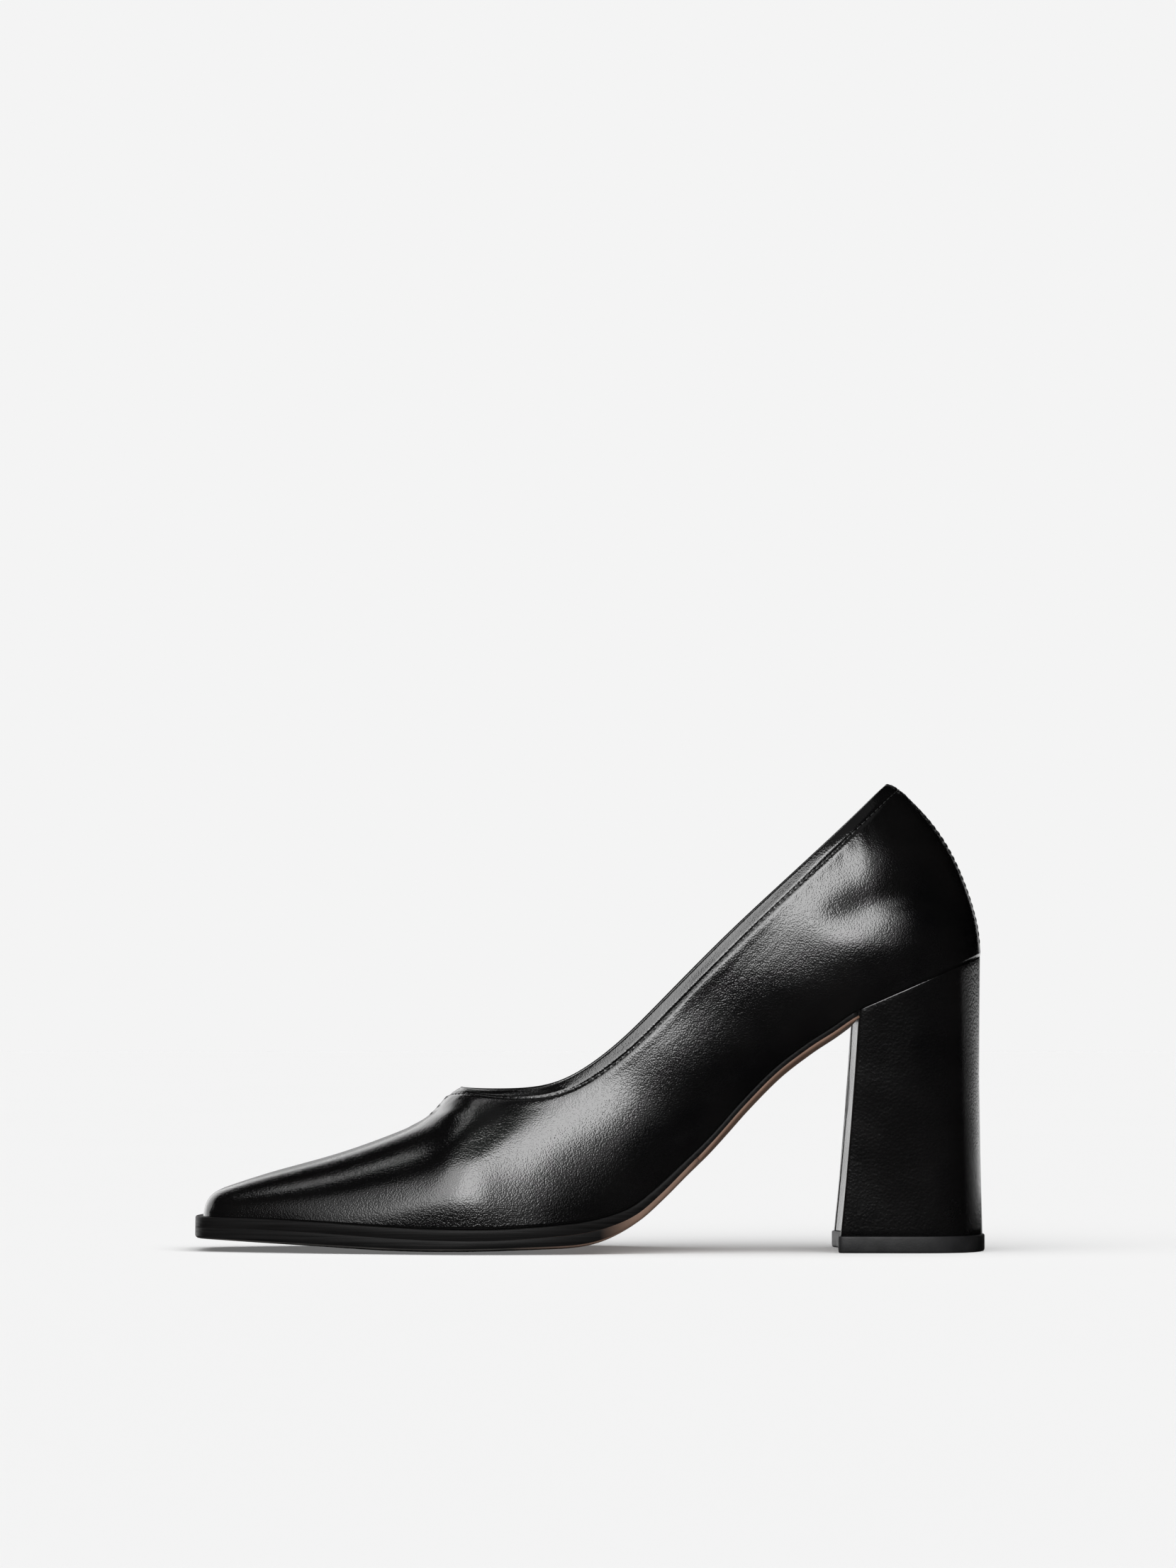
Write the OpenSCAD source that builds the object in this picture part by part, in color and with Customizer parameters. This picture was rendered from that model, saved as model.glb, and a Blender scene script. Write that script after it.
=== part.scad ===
// High heel pump, left shoe. The toe points along -X, the outer side faces -Y, and the floor is z = 0.
// The origin lies on the floor under the middle of the shoe. All sizes are in millimetres.

/* [Size] */
// Length of the upper where it meets the sole, toe to back
last_l = 235.4; // [225:0.1:250]
// Width of the upper over the ball of the foot
ball_w = 76.4; // [70:0.1:82]
// Height of the heel seat above the floor, at the heel's front
seat_h = 72.5; // [68:0.1:78]

/* [Upper] */
// Thickness of the black calf leather
leather_t = 1.1; // [0.9:0.1:1.3]
// Thickness of the layer between leather and lining
stiffener_t = 0.8; // [0.5:0.1:1.0]
// Thickness of the lining
lining_t = 0.7; // [0.5:0.1:0.9]
// Thickness of the suede heel grip
grip_t = 0.6; // [0.4:0.1:0.8]
// Width of the margin turned under the insole board
margin_w = 11; // [9:0.5:12]
// Distance from the folded topline to its stitching
stitch_inset = 4.5; // [3:0.1:6]
// Pitch of the stitches
stitch_pitch = 2.2; // [1.8:0.1:3]
// Thickness of the thread
thread_d = 0.5; // [0.3:0.1:0.6]

/* [Insole] */
// Thickness of the insole board
board_t = 2; // [1.5:0.1:2.5]
// Thickness of the foam under the sock
foam_t = 2; // [1:0.1:3]
// Thickness of the sock
sock_t = 0.8; // [0.6:0.1:1.2]
// Width of the steel shank
shank_w = 14; // [10:1:16]
// Thickness of the steel shank
shank_t = 1.6; // [1.2:0.1:1.6]

/* [Sole] */
// Thickness of the midsole under the forepart
mid_t = 3.2; // [2.5:0.1:3.6]
// Thickness of the midsole in the waist
mid_waist_t = 1.5; // [1.2:0.1:2]
// Thickness of the whole sole at its edge under the ball
tread_t = 6; // [5.5:0.1:7]
// Depth by which the tread is rounded from its edge to its middle
crown_t = 1.5; // [1:0.1:2]
// Distance that the sole stands out beyond the toe
ledge_w = 2.4; // [1.5:0.1:3]

/* [Heel] */
// Thickness of the top piece, the wear piece under the heel
top_piece_t = 5; // [4:0.1:7]
// Distance that the top piece stands out beyond the heel
top_piece_lip = 0.6; // [0.3:0.1:1]
// Thickness of the leather on the heel
cover_t = 0.9; // [0.7:0.1:1.2]
// Depth of the hollow in the heel's front face
breast_hollow = 3.3; // [2:0.1:5]
// Angle of the heel seat to the floor
seat_a = 23.4; // [20:0.1:26]

/* [Hidden] */
$fn = 32;

// The tables below hold the sample size, which these three factors grade to the sizes above.
grade_x = last_l / 235.4;
grade_y = ball_w / 76.4;
tread_h = tread_t + crown_t;
grade_z = (seat_h - tread_h) / (72.5 - 7.5);
function grade(p) = [p.x * grade_x, p.y * grade_y, tread_h + (p.z - 7.5) * grade_z];

// Feather line: where the upper meets the sole, seen from above, from the toe's middle to the
// middle of the back. Each row is [x, y of the outer side, y of the inner side].
FEATHER = [
    [-117.0, 3, 3], [-116.4, -7.5, 13.5], [-112.5, -13.5, 19], [-100, -19.5, 24.5], [-80, -27.5, 30.5],
    [-62, -33, 34.8], [-50, -36, 37], [-42, -37.6, 37.8], [-34, -38.2, 38.2], [-24, -38, 38],
    [-10, -36.8, 36.3], [6, -33.5, 31.5], [22, -29, 25], [40, -25, 21], [60, -24, 20.5],
    [80, -26.5, 25], [98, -27.5, 27.5], [110, -23, 23.5], [116.5, -12.5, 13], [118.3, 0, 0]];
// Ridge of the vamp, from the toe to the throat, at the same stations as the first rows above.
RIDGE = [
    [-113.4, 3, 17], [-110.5, 2.9, 18.7], [-106, 2.8, 20.3], [-94, 2.4, 24.1], [-75, 1.8, 29.5],
    [-58, 1, 35.7], [-49, 0.5, 40.4], [-43.6, 0.2, 46], [-39, 0, 50]];
// Topline of the outer side, from the throat to the middle of the back; the inner side mirrors it.
TOPLINE = [
    [-39, 0, 50], [-33.5, -11, 49.7], [-22, -20, 49.7], [-8, -24.5, 52.3], [8, -25.5, 62.8],
    [24, -24.8, 78.3], [42, -23.6, 96.4], [58, -21.8, 111.7], [72, -18.5, 124.8], [82, -12.4, 134.4],
    [88, -6, 140.2], [90.2, 0, 142]];
// How round the wall is at each station: 1 is a quarter ellipse, 0 is straight.
ROUND = [1, 1, 1, 1, 1, 1, 1, 1, 1, 0.85, 0.7, 0.5, 0.35, 0.3, 0.3, 0.3, 0.35, 0.42, 0.48, 0.5];
// How far the quarters swell outwards at each of the last stations.
SWELL_FROM = 10;
SWELL = [0, 0.7, 1.6, 2.2, 2.4, 2.2, 2.0, 2.0, 2.2, 2.2];

stations = len(FEATHER) - 1;
throat = len(RIDGE) - 1;
loop_n = 2 * stations;
breast_station = 15;
breast_x = FEATHER[breast_station].x * grade_x;

// Sole line seen from the side: [x, height of the top of the sole].
SOLE_LINE = [
    [-130, 10.6], [-118, 10.4], [-100, 10.2], [-80, 9.3], [-60, 8.1], [-45, 7.5], [-28, 7.5],
    [-11, 8.6], [-3, 9.4], [5, 11.1], [12.5, 14], [19.5, 19.3], [26.8, 26], [35.7, 34.6],
    [45.5, 45.5], [55.2, 55.2], [65, 62.7], [72, 67.2], [80, 72.5]];

// Where a value stands in a table of [x, value] rows.
function row_of(t, x, i = 0) = i >= len(t) - 2 || x < t[i + 1].x ? i : row_of(t, x, i + 1);
function slope_at(t, i) = let (a = max(i - 1, 0), b = min(i + 1, len(t) - 1))
    (t[b].y - t[a].y) / (t[b].x - t[a].x);
// Smooth curve through a table of [x, value] rows, held level beyond its ends.
function smooth(t, at) =
    let (x = min(max(at, t[0].x), t[len(t) - 1].x), i = row_of(t, x), w = t[i + 1].x - t[i].x,
        s = (x - t[i].x) / w, p = slope_at(t, i) * w, q = slope_at(t, i + 1) * w,
        rise = t[i + 1].y - t[i].y)
    t[i].y + s * p + s * s * (3 * rise - 2 * p - q) + s * s * s * (p + q - 2 * rise);

seat_line = concat([for (r = SOLE_LINE) [r.x * grade_x, grade([0, 0, r.y]).z]],
    [[breast_x + 20, seat_h + 20 * tan(seat_a)]]);
// Height of the sole line, which is a flat ramp under the heel seat.
function sole_z(x) = x > breast_x
    ? seat_h + (x - breast_x) * tan(seat_a) : smooth(seat_line, x);
// Slope of the sole line, in degrees.
function sole_a(x) = atan(sole_z(x + 0.5) - sole_z(x - 0.5));
// A point at height h above the sole line, square to it.
function on_sole(x, y, h) = [x - h * sin(sole_a(x)), y, sole_z(x) + h * cos(sole_a(x))];

// Smooth closed loop through points or numbers; u counts them.
function spline(a, b, c, d, t) =
    0.5 * (2 * b + (c - a) * t + (2 * a - 5 * b + 4 * c - d) * t * t + (3 * b - a - 3 * c + d) * t * t * t);
function loop_at(pts, u) = let (n = len(pts), k = floor(u), i = k + 4 * n)
    spline(pts[(i - 1) % n], pts[i % n], pts[(i + 1) % n], pts[(i + 2) % n], u - k);
// Open curve through points, carried straight on at its ends.
function open_at(pts, u) = let (n = len(pts), k = min(max(floor(u), 0), n - 2))
    spline(k > 0 ? pts[k - 1] : 2 * pts[0] - pts[1], pts[k], pts[k + 1],
        k < n - 2 ? pts[k + 2] : 2 * pts[n - 1] - pts[n - 2], u - k);

// Loops round the whole shoe: the outer side from toe to back, then the inner side to the toe again.
function round_trip(list) = concat(list, [for (k = [stations - 1:-1:1]) list[k]]);
feather_loop = concat([for (r = FEATHER) [r.x * grade_x, r.y * grade_y]],
    [for (k = [stations - 1:-1:1]) [FEATHER[k].x * grade_x, FEATHER[k].z * grade_y]]);
round_loop = round_trip(ROUND);
swell_loop = round_trip([for (k = [0:stations]) k < SWELL_FROM ? 0 : SWELL[k - SWELL_FROM]]);
ridge_curve = [for (r = RIDGE) grade(r)];
topline_loop = concat([for (r = TOPLINE) grade(r)],
    [for (k = [len(TOPLINE) - 2:-1:1]) grade([TOPLINE[k].x, -TOPLINE[k].y, TOPLINE[k].z])]);

// Direction, seen from above, from the feather line towards the middle of the foot.
function focus(p) = [min(max(p.x, -96 * grade_x), 94 * grade_x), 2.5 * (94 - p.x) / 190];
function inward(u) = let (p = loop_at(feather_loop, u), v = focus(p) - p) v / norm(v);
// Feather line moved in by a distance, or out by a negative one.
function inset(u, distance) = loop_at(feather_loop, u) + distance * inward(u);

// Top of the wall: the ridge of the vamp, and behind the throat the topline.
function top_of(u) = let (w = ((u % loop_n) + loop_n) % loop_n)
    w <= throat ? open_at(ridge_curve, w)
    : w >= loop_n - throat ? open_at(ridge_curve, loop_n - w)
    : loop_at(topline_loop, w - throat);
// Outside of the upper at station u, from v = 0 at the feather line to v = 1 at the top.
function skin(u, v) =
    let (f = loop_at(feather_loop, u), foot = [f.x, f.y, sole_z(f.x)], top = top_of(u),
        e = loop_at(round_loop, u), across = (1 - e) * v + e * (1 - cos(90 * v)),
        up = (1 - e) * v + e * sin(90 * v), out = -inward(u),
        swell = loop_at(swell_loop, u) * sin(180 * pow(v, 0.7)))
    [foot.x + (top.x - foot.x) * across + swell * out.x,
        foot.y + (top.y - foot.y) * across + swell * out.y, foot.z + (top.z - foot.z) * up];
function on_ridge(u) = let (w = ((u % loop_n) + loop_n) % loop_n) w <= throat || w >= loop_n - throat;
function unit(v) = v / norm(v);
// Outward direction of the skin.
function facing(u, v) = v == 1 && on_ridge(u)
    ? let (w = min(u % loop_n, loop_n - u % loop_n),
        t = open_at(ridge_curve, min(w + 0.1, throat)) - open_at(ridge_curve, max(w - 0.1, 0)))
        unit([-t.z, 0, t.x])
     : unit(cross(skin(u + 0.05, v) - skin(u - 0.05, v),
                  skin(u, min(v + 0.03, 1)) - skin(u, max(v - 0.03, 0))));

// Grid of the upper: columns round the shoe, and rows from the margin's inner edge to the top.
per_station = 2;
columns = loop_n * per_station;
margin_rows = 1;
WALL = [0, 0.12, 0.28, 0.45, 0.62, 0.78, 0.91, 1];
rows = margin_rows + len(WALL) - 1;
ridge_columns = throat * per_station;
// A point of the grid at a depth below the skin.
function layer_point(u, j, depth) = j < margin_rows
    ? let (p = inset(u, margin_w * (margin_rows - j) / margin_rows)) on_sole(p.x, p.y, depth)
    : j == margin_rows ? let (p = inset(u, depth)) on_sole(p.x, p.y, depth)
    : let (v = WALL[j - margin_rows], f = loop_at(feather_loop, u), lift = depth * pow(1 - v, 2),
        up = on_sole(f.x, 0, 1) - on_sole(f.x, 0, 0))
        skin(u, v) - depth * facing(u, v) + lift * up;
function corner(c, j) = let (w = c % columns, twin = (columns - w) % columns)
    (j == rows && w > columns / 2 && twin <= ridge_columns ? twin : w) * (rows + 1) + j;
// The cell across one edge of a cell: 0 below, 1 ahead, 2 above, 3 behind; undef at an open edge.
function across_edge(c, j, side) =
    side == 0 ? (j == 0 ? undef : [c, j - 1])
    : side == 1 ? [(c + 1) % columns, j]
    : side == 3 ? [(c + columns - 1) % columns, j]
    : j < rows - 1 ? [c, j + 1]
    : c < ridge_columns || c >= columns - ridge_columns ? [columns - 1 - c, j] : undef;
function inside_out(faces) = [for (f = faces) [f[2], f[1], f[0]]];
// A sheet of the upper between two depths, made of the grid cells that the test picks.
module sheet(picks, outer, inner) {
    n = columns * (rows + 1);
    points = [for (d = [outer, inner], c = [0:columns - 1], j = [0:rows])
        layer_point(c / per_station, j, d)];
    faces = [for (c = [0:columns - 1], j = [0:rows - 1]) if (picks(c / per_station, j))
        let (q = [corner(c, j), corner(c + 1, j), corner(c + 1, j + 1), corner(c, j + 1)])
        each concat([[q[0], q[1], q[2]], [q[0], q[2], q[3]]],
            [[n + q[2], n + q[1], n + q[0]], [n + q[3], n + q[2], n + q[0]]],
            [for (side = [0:3]) let (o = across_edge(c, j, side), a = q[side], b = q[(side + 1) % 4])
                if (o == undef || !picks(o[0] / per_station, o[1]))
                    each [[b, a, n + a], [b, n + a, n + b]]])];
    polyhedron(points, inside_out(faces), convexity = 8);
}

// How far a station lies behind the toe, on either side.
function back_from_toe(u) = min(u, loop_n - 1 / per_station - u);
tape_from = throat + 1;
puff_to = 3.5;
counter_from = 14;
counter_row = rows - 3;
lining_seam = 10.5;
is_tape = function (u, j) back_from_toe(u) >= tape_from && j == rows - 1;
is_puff = function (u, j) back_from_toe(u) < puff_to;
is_counter = function (u, j) back_from_toe(u) >= counter_from && j < counter_row;
is_vamp_lining = function (u, j) back_from_toe(u) < lining_seam;

inner_depth = leather_t + stiffener_t;
lined_depth = inner_depth + lining_t;

module upper_leather() color("#17171a")
    sheet(function (u, j) true, 0, leather_t);
module topline_tape() color("#e8e6df")
    sheet(is_tape, leather_t, inner_depth);
module toe_puff() color("#c9c2b2")
    sheet(is_puff, leather_t, inner_depth);
module heel_counter() color("#b9a98c")
    sheet(is_counter, leather_t, inner_depth);
module interlining() color("#dedbd2")
    sheet(function (u, j) !is_tape(u, j) && !is_puff(u, j) && !is_counter(u, j), leather_t, inner_depth);
module vamp_lining() color("#2a2725")
    sheet(is_vamp_lining, inner_depth, lined_depth);
module quarter_lining() color("#2c2826")
    sheet(function (u, j) !is_vamp_lining(u, j), inner_depth, lined_depth);
module heel_grip() color("#3a3532")
    sheet(function (u, j) back_from_toe(u) >= 17 && j >= counter_row - 1 && j < rows - 1,
        lined_depth, lined_depth + grip_t);

// A plate that follows the sole. Stations run from front to back; each ring is a function of x that
// gives [inset, height], from the top edge down to the bottom edge; crown deepens the middle below.
cross_n = 4;
function above_floor(p) = [p.x, p.y, max(p.z, 0)];
module plate(along, rings, crown = function (x) 0) {
    m = len(along);
    k = len(rings);
    // Both ends of a ring's cross line at one station.
    ring_ends = [for (r = rings, u = along) let (x = loop_at(feather_loop, u).x, at = r(x))
        [each [for (w = [u, loop_n - u]) concat(inset(w, at[0]), [at[1]])]]];
    face_row = function (r, i, fall) let (e = ring_ends[r * m + i])
        [for (b = [1:cross_n - 1]) let (t = b / cross_n, p = e[0] * (1 - t) + e[1] * t)
            above_floor(on_sole(p.x, p.y, p.z - fall(p.x) * 4 * t * (1 - t)))];
    edges = [for (r = [0:k - 1], i = [0:m - 1], s = [0, 1]) let (p = ring_ends[r * m + i][s])
        on_sole(p.x, p.y, p.z)];
    tops = [for (i = [0:m - 1]) each face_row(0, i, function (x) 0)];
    bottoms = [for (i = [0:m - 1]) each face_row(k - 1, i, crown)];
    inner_n = cross_n - 1;
    at = function (r, i, s) (r * m + i) * 2 + s;
    top_at = function (i, b) b == 0 ? at(0, i, 0) : b == cross_n ? at(0, i, 1)
        : 2 * k * m + i * inner_n + b - 1;
    low_at = function (i, b) b == 0 ? at(k - 1, i, 0) : b == cross_n ? at(k - 1, i, 1)
        : 2 * k * m + m * inner_n + i * inner_n + b - 1;
    split = function (a, b, c, d) [[a, b, c], [a, c, d]];
    faces = [
        for (i = [0:m - 2], b = [0:cross_n - 1]) each concat(
            split(top_at(i, b), top_at(i + 1, b), top_at(i + 1, b + 1), top_at(i, b + 1)),
            split(low_at(i, b + 1), low_at(i + 1, b + 1), low_at(i + 1, b), low_at(i, b))),
        for (r = [0:1:k - 2], i = [0:m - 2]) each concat(
            split(at(r + 1, i, 0), at(r + 1, i + 1, 0), at(r, i + 1, 0), at(r, i, 0)),
            split(at(r, i, 1), at(r, i + 1, 1), at(r + 1, i + 1, 1), at(r + 1, i, 1))),
        // The two ends, split into strips and, at the corners, fans.
        for (i = [0, m - 1]) each let (
            strips = [for (b = [0:cross_n - 1])
                each split(top_at(i, b), top_at(i, b + 1), low_at(i, b + 1), low_at(i, b))],
            fans = [for (r = [1:1:k - 2]) each [[at(0, i, 0), at(r + 1, i, 0), at(r, i, 0)],
                [at(0, i, 1), at(r, i, 1), at(r + 1, i, 1)]]])
            i == 0 ? concat(strips, fans) : inside_out(concat(strips, fans))];
    polyhedron(concat(edges, tops, bottoms), inside_out(faces), convexity = 8);
}
// Stations for a plate, with a step at each place listed.
function stretch(from, to, step = 0.5) = [for (u = [from:step:to]) u];
end_gap = 0.2;
whole_length = concat([end_gap], stretch(0.5, 18.5), [stations - end_gap]);
taper = function (x) smooth([[-118, 0.45], [-104, 0.6], [-90, 1], [0, 1]], x / grade_x);

// Fasteners of the heel, square to the seat at these places: the screw, then the nails.
SCREW_X = 99;
NAILS = [[90, -12], [90, 12], [103.5, -9], [103.5, 9]];
module seat_at(x, y, h) {
    p = on_sole(x * grade_x, y, h);
    translate(p) rotate([0, -seat_a, 0]) children();
}
module heel_bores(screw_r, nail_r, up, down) {
    seat_at(SCREW_X, 0, 0) translate([0, 0, -down]) cylinder(r = screw_r, h = up + down);
    for (p = NAILS) seat_at(p.x, p.y, 0) translate([0, 0, -down]) cylinder(r = nail_r, h = up + down);
}
screw_r = 2;
nail_r = 1;
screw_head_r = 4;
nail_head_r = 2.2;
head_t = 0.9;
shaft_gap = 0.02;
rivet_r = 1.5;
RIVET_X = [6, 86];
board_top = lined_depth + board_t;
module rivet_holes(r) for (x = RIVET_X)
    translate(on_sole(x, 0, -0.5)) rotate([0, -sole_a(x), 0]) cylinder(r = r, h = board_top + 1);

board_inset = function (x)
    smooth([[-118, 7.5], [-104, 6.5], [-92, 3.6], [-80, 3.1], [119, 3.1]], x / grade_x);
sock_inset = function (x) smooth([[-118, 14], [-104, 12], [-92, 8], [-70, 5.4], [-40, 4.2], [119, 3.6]],
    x / grade_x);
module insole_board() color("#b48a5a") difference() {
    plate(whole_length, [function (x) [board_inset(x), lined_depth + board_t * taper(x)],
        function (x) [board_inset(x), lined_depth]]);
    heel_bores(screw_r, nail_r, board_top + 1, 1);
    seat_at(SCREW_X, 0, board_top - head_t) cylinder(r = screw_head_r, h = head_t + 1);
    for (p = NAILS) seat_at(p.x, p.y, board_top - head_t) cylinder(r = nail_head_r, h = head_t + 1);
    rivet_holes(rivet_r);
}
module sock_foam() color("#e9dcc0")
    plate(whole_length, [function (x) [sock_inset(x), lined_depth + (board_t + foam_t) * taper(x)],
        function (x) [sock_inset(x) - 0.2, lined_depth + board_t * taper(x)]]);
module sock_lining() color("#2f2a28")
    plate(whole_length, [
        function (x) [sock_inset(x) + 0.1, lined_depth + (board_t + foam_t + sock_t) * taper(x)],
        function (x) [sock_inset(x), lined_depth + (board_t + foam_t) * taper(x)]]);

filler_inset = margin_w + 0.6;
shank_low = lined_depth - shank_t - 0.15;
module forepart_filler() color("#a8794a")
    plate(concat([end_gap], stretch(0.5, 10)), [function (x) [filler_inset, lined_depth - 0.1],
        function (x) [filler_inset, 0]]);
module waist_filler() color("#8d8f92") difference() {
    plate(stretch(10.5, 17.5), [function (x) [filler_inset, shank_low - 0.05],
                                function (x) [filler_inset, 0]]);
    heel_bores(screw_r, nail_r, 3, 1);
    rivet_holes(2.6);
}

// The shank is a spring-steel strip, dished across for stiffness.
SHANK_X = [0, 104];
shank_rings = 27;
module shank() color("#8f969c") difference() {
    points = [for (i = [0:shank_rings - 1])
        let (x = SHANK_X[0] + (SHANK_X[1] - SHANK_X[0]) * i / (shank_rings - 1))
        each [for (p = [[-1, 0.35], [0, 0], [1, 0.35], [1, shank_t], [0, shank_t - 0.35], [-1, shank_t]])
            on_sole(x, p.x * shank_w / 2, shank_low + p.y)]];
    faces = concat([[0, 1, 2, 3, 4, 5]],
        [for (i = [0:shank_rings - 2], b = [0:5]) let (a = i * 6 + b, c = i * 6 + (b + 1) % 6)
            each [[a, a + 6, c + 6], [a, c + 6, c]]],
        [[for (b = [5:-1:0]) (shank_rings - 1) * 6 + b]]);
    polyhedron(points, faces, convexity = 6);
    seat_at(SCREW_X, 0, 0) cylinder(r = screw_r, h = board_top);
    rivet_holes(rivet_r);
}
// Each rivet is a shaft with a low head above the board and a rolled one below the shank.
rivet_head = 0.4;
module shank_rivets() color("#b9975b") for (x = RIVET_X)
    translate(on_sole(x, 0, shank_low - 0.5)) rotate([0, -sole_a(x), 0]) {
        cylinder(r = rivet_r - shaft_gap, h = board_top - shank_low + 0.5);
        cylinder(r = 2.5, h = rivet_head);
    }

// Thickness of the black runner, and of the whole sole at its edge, along the shoe.
runner_t = function (x)
    smooth([[-119, mid_t], [0, mid_t], [13, 2.6], [22, 2.1], [31, 1.7], [38, mid_waist_t],
    [119, mid_waist_t]], x / grade_x);
edge_t = function (x) smooth([[-119, tread_t + 0.4], [-100, tread_t + 1], [-80, tread_t + 0.9],
    [-60, tread_t + 0.6], [-40, tread_t + 0.1], [-25, tread_t], [-8, tread_t + 0.6], [0, tread_t + 0.6],
    [6, 5.8], [13, 4.4], [22, 3.5], [31, 2.9],
     [38, mid_waist_t + 0.9], [119, mid_waist_t + 0.9]], x / grade_x);
crown = function (x) smooth([[-119, 0.2], [-100, 0.8], [-60, crown_t], [-10, crown_t], [10, 1], [25, 1],
    [38, 1.6], [76, 1.5], [79, 0.6], [80, 0], [119, 0]], x / grade_x);
tongue_inset = 12.3;
ledge = function (x) x > breast_x - 0.2 ? tongue_inset
    : -smooth([[-119, ledge_w], [-100, 2.2], [-60, 1.8],
               [-10, 1.6], [12, 0.8], [30, 0], [80, -0.1]], x / grade_x);
bevel = 0.9;
joint_station = 12.5;
to_breast = concat(stretch(13, 14.5), [breast_station - 0.02]);
under_seat = concat([breast_station + 0.02], stretch(15.5, 17.5));
module midsole() color("#141414") difference() {
    plate(concat([end_gap], stretch(0.5, 12.5), to_breast, under_seat),
        [function (x) [ledge(x), 0], function (x) [ledge(x), -runner_t(x)]]);
    heel_bores(screw_r, nail_r, 1, 4);
}
module outsole_forepart() color("#1a1917")
    plate(concat([end_gap], stretch(0.5, joint_station)), [function (x) [ledge(x), -runner_t(x)],
        function (x) [ledge(x), -edge_t(x) + min(bevel, edge_t(x) - runner_t(x) - 0.3)],
        function (x) [ledge(x) + bevel, -edge_t(x)]], crown);
waist_edge = function (x) ledge(x) + (x > breast_x - 0.2 ? 2 : 0.1);
module outsole_waist() color("#8a7668") difference() {
    plate(concat([joint_station + 0.02], to_breast, under_seat),
          [function (x) [waist_edge(x), -runner_t(x)],
        function (x) [waist_edge(x) + 0.3, -edge_t(x)]], crown);
    heel_bores(screw_r, nail_r, 1, 4);
}

// Heel: its plan at the seat follows the feather line, and this is its plan at the top piece, at the
// same stations, from the front corner of the outer side to the middle of the back.
HEEL_FOOT = [[74.4, -24.6], [93, -25.4], [109, -23.6], [117, -13], [118.8, 0]];
foot_curve = concat(HEEL_FOOT, [for (k = [3:-1:0]) [HEEL_FOOT[k].x, -HEEL_FOOT[k].y]]);
heel_waist = 0.5;
side_n = 24;
breast_n = 8;
heel_ring_n = side_n + breast_n;
heel_middle = [97 * grade_x, 0];
// Plan of the heel at height fraction s, 1 at the seat and 0 at the top piece; q counts round the ring.
function heel_side(q, s) = let (t = 8 * q / side_n, top = loop_at(feather_loop, breast_station + t),
    foot = open_at(foot_curve, t), foot_g = [foot.x * grade_x, foot.y * grade_y])
    top * s + foot_g * (1 - s);
function heel_plan(i, s, shrink) = let (q = (i + heel_ring_n) % heel_ring_n, t = (q - side_n) / breast_n,
    p = q <= side_n ? heel_side(q, s)
        : heel_side(side_n, s) * (1 - t) + heel_side(0, s) * t + [breast_hollow * 4 * t * (1 - t), 0],
    v = unit(heel_middle - p)) p + v * (shrink + heel_waist * sin(180 * s));
function heel_point(i, s, shrink) = let (p = heel_plan(i, s, shrink), top = heel_plan(i, 1, shrink))
    [p.x, p.y, top_piece_t + (sole_z(top.x) - top_piece_t) * s];
HEEL_LEVELS = [0, 0.25, 0.5, 0.75, 1];
BREAST_LEVELS = [0, 0.25, 0.5, 0.75, 0.955];
// A skin over part of the heel's ring, between two depths.
module heel_skin(from, to, outer, inner, levels) {
    m = to - from + 1;
    k = len(levels);
    points = [for (d = [outer, inner], s = levels, i = [from:to]) heel_point(i, s, d)];
    n = m * k;
    cell = function (l, i) [l * m + i, l * m + i + 1, (l + 1) * m + i + 1, (l + 1) * m + i];
    fence = concat([for (i = [0:m - 2]) [i + 1, i]],
        [for (l = [0:k - 2]) [(l + 1) * m + m - 1, l * m + m - 1]],
        [for (i = [0:m - 2]) [(k - 1) * m + i, (k - 1) * m + i + 1]],
        [for (l = [0:k - 2]) [l * m, (l + 1) * m]]);
    faces = concat(
        [for (l = [0:k - 2], i = [0:m - 2]) let (c = cell(l, i))
            each [[c[0], c[1], c[2]], [c[0], c[2], c[3]],
                  [n + c[2], n + c[1], n + c[0]], [n + c[3], n + c[2], n + c[0]]]],
        [for (e = fence) each [[e[0], e[1], n + e[1]], [e[0], n + e[1], n + e[0]]]]);
    polyhedron(points, inside_out(faces), convexity = 8);
}
cup_w = 31.2;
cup_l = 31;
cup_d = edge_t(100 * grade_x) + 0.05;
pin_r = 1.5;
PIN_X = [86, 108];
pin_up = 11;
pilot_l = 26;
module pins(r, low, high) for (x = PIN_X) translate([x, 0, low]) cylinder(r = r, h = high - low);
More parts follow.
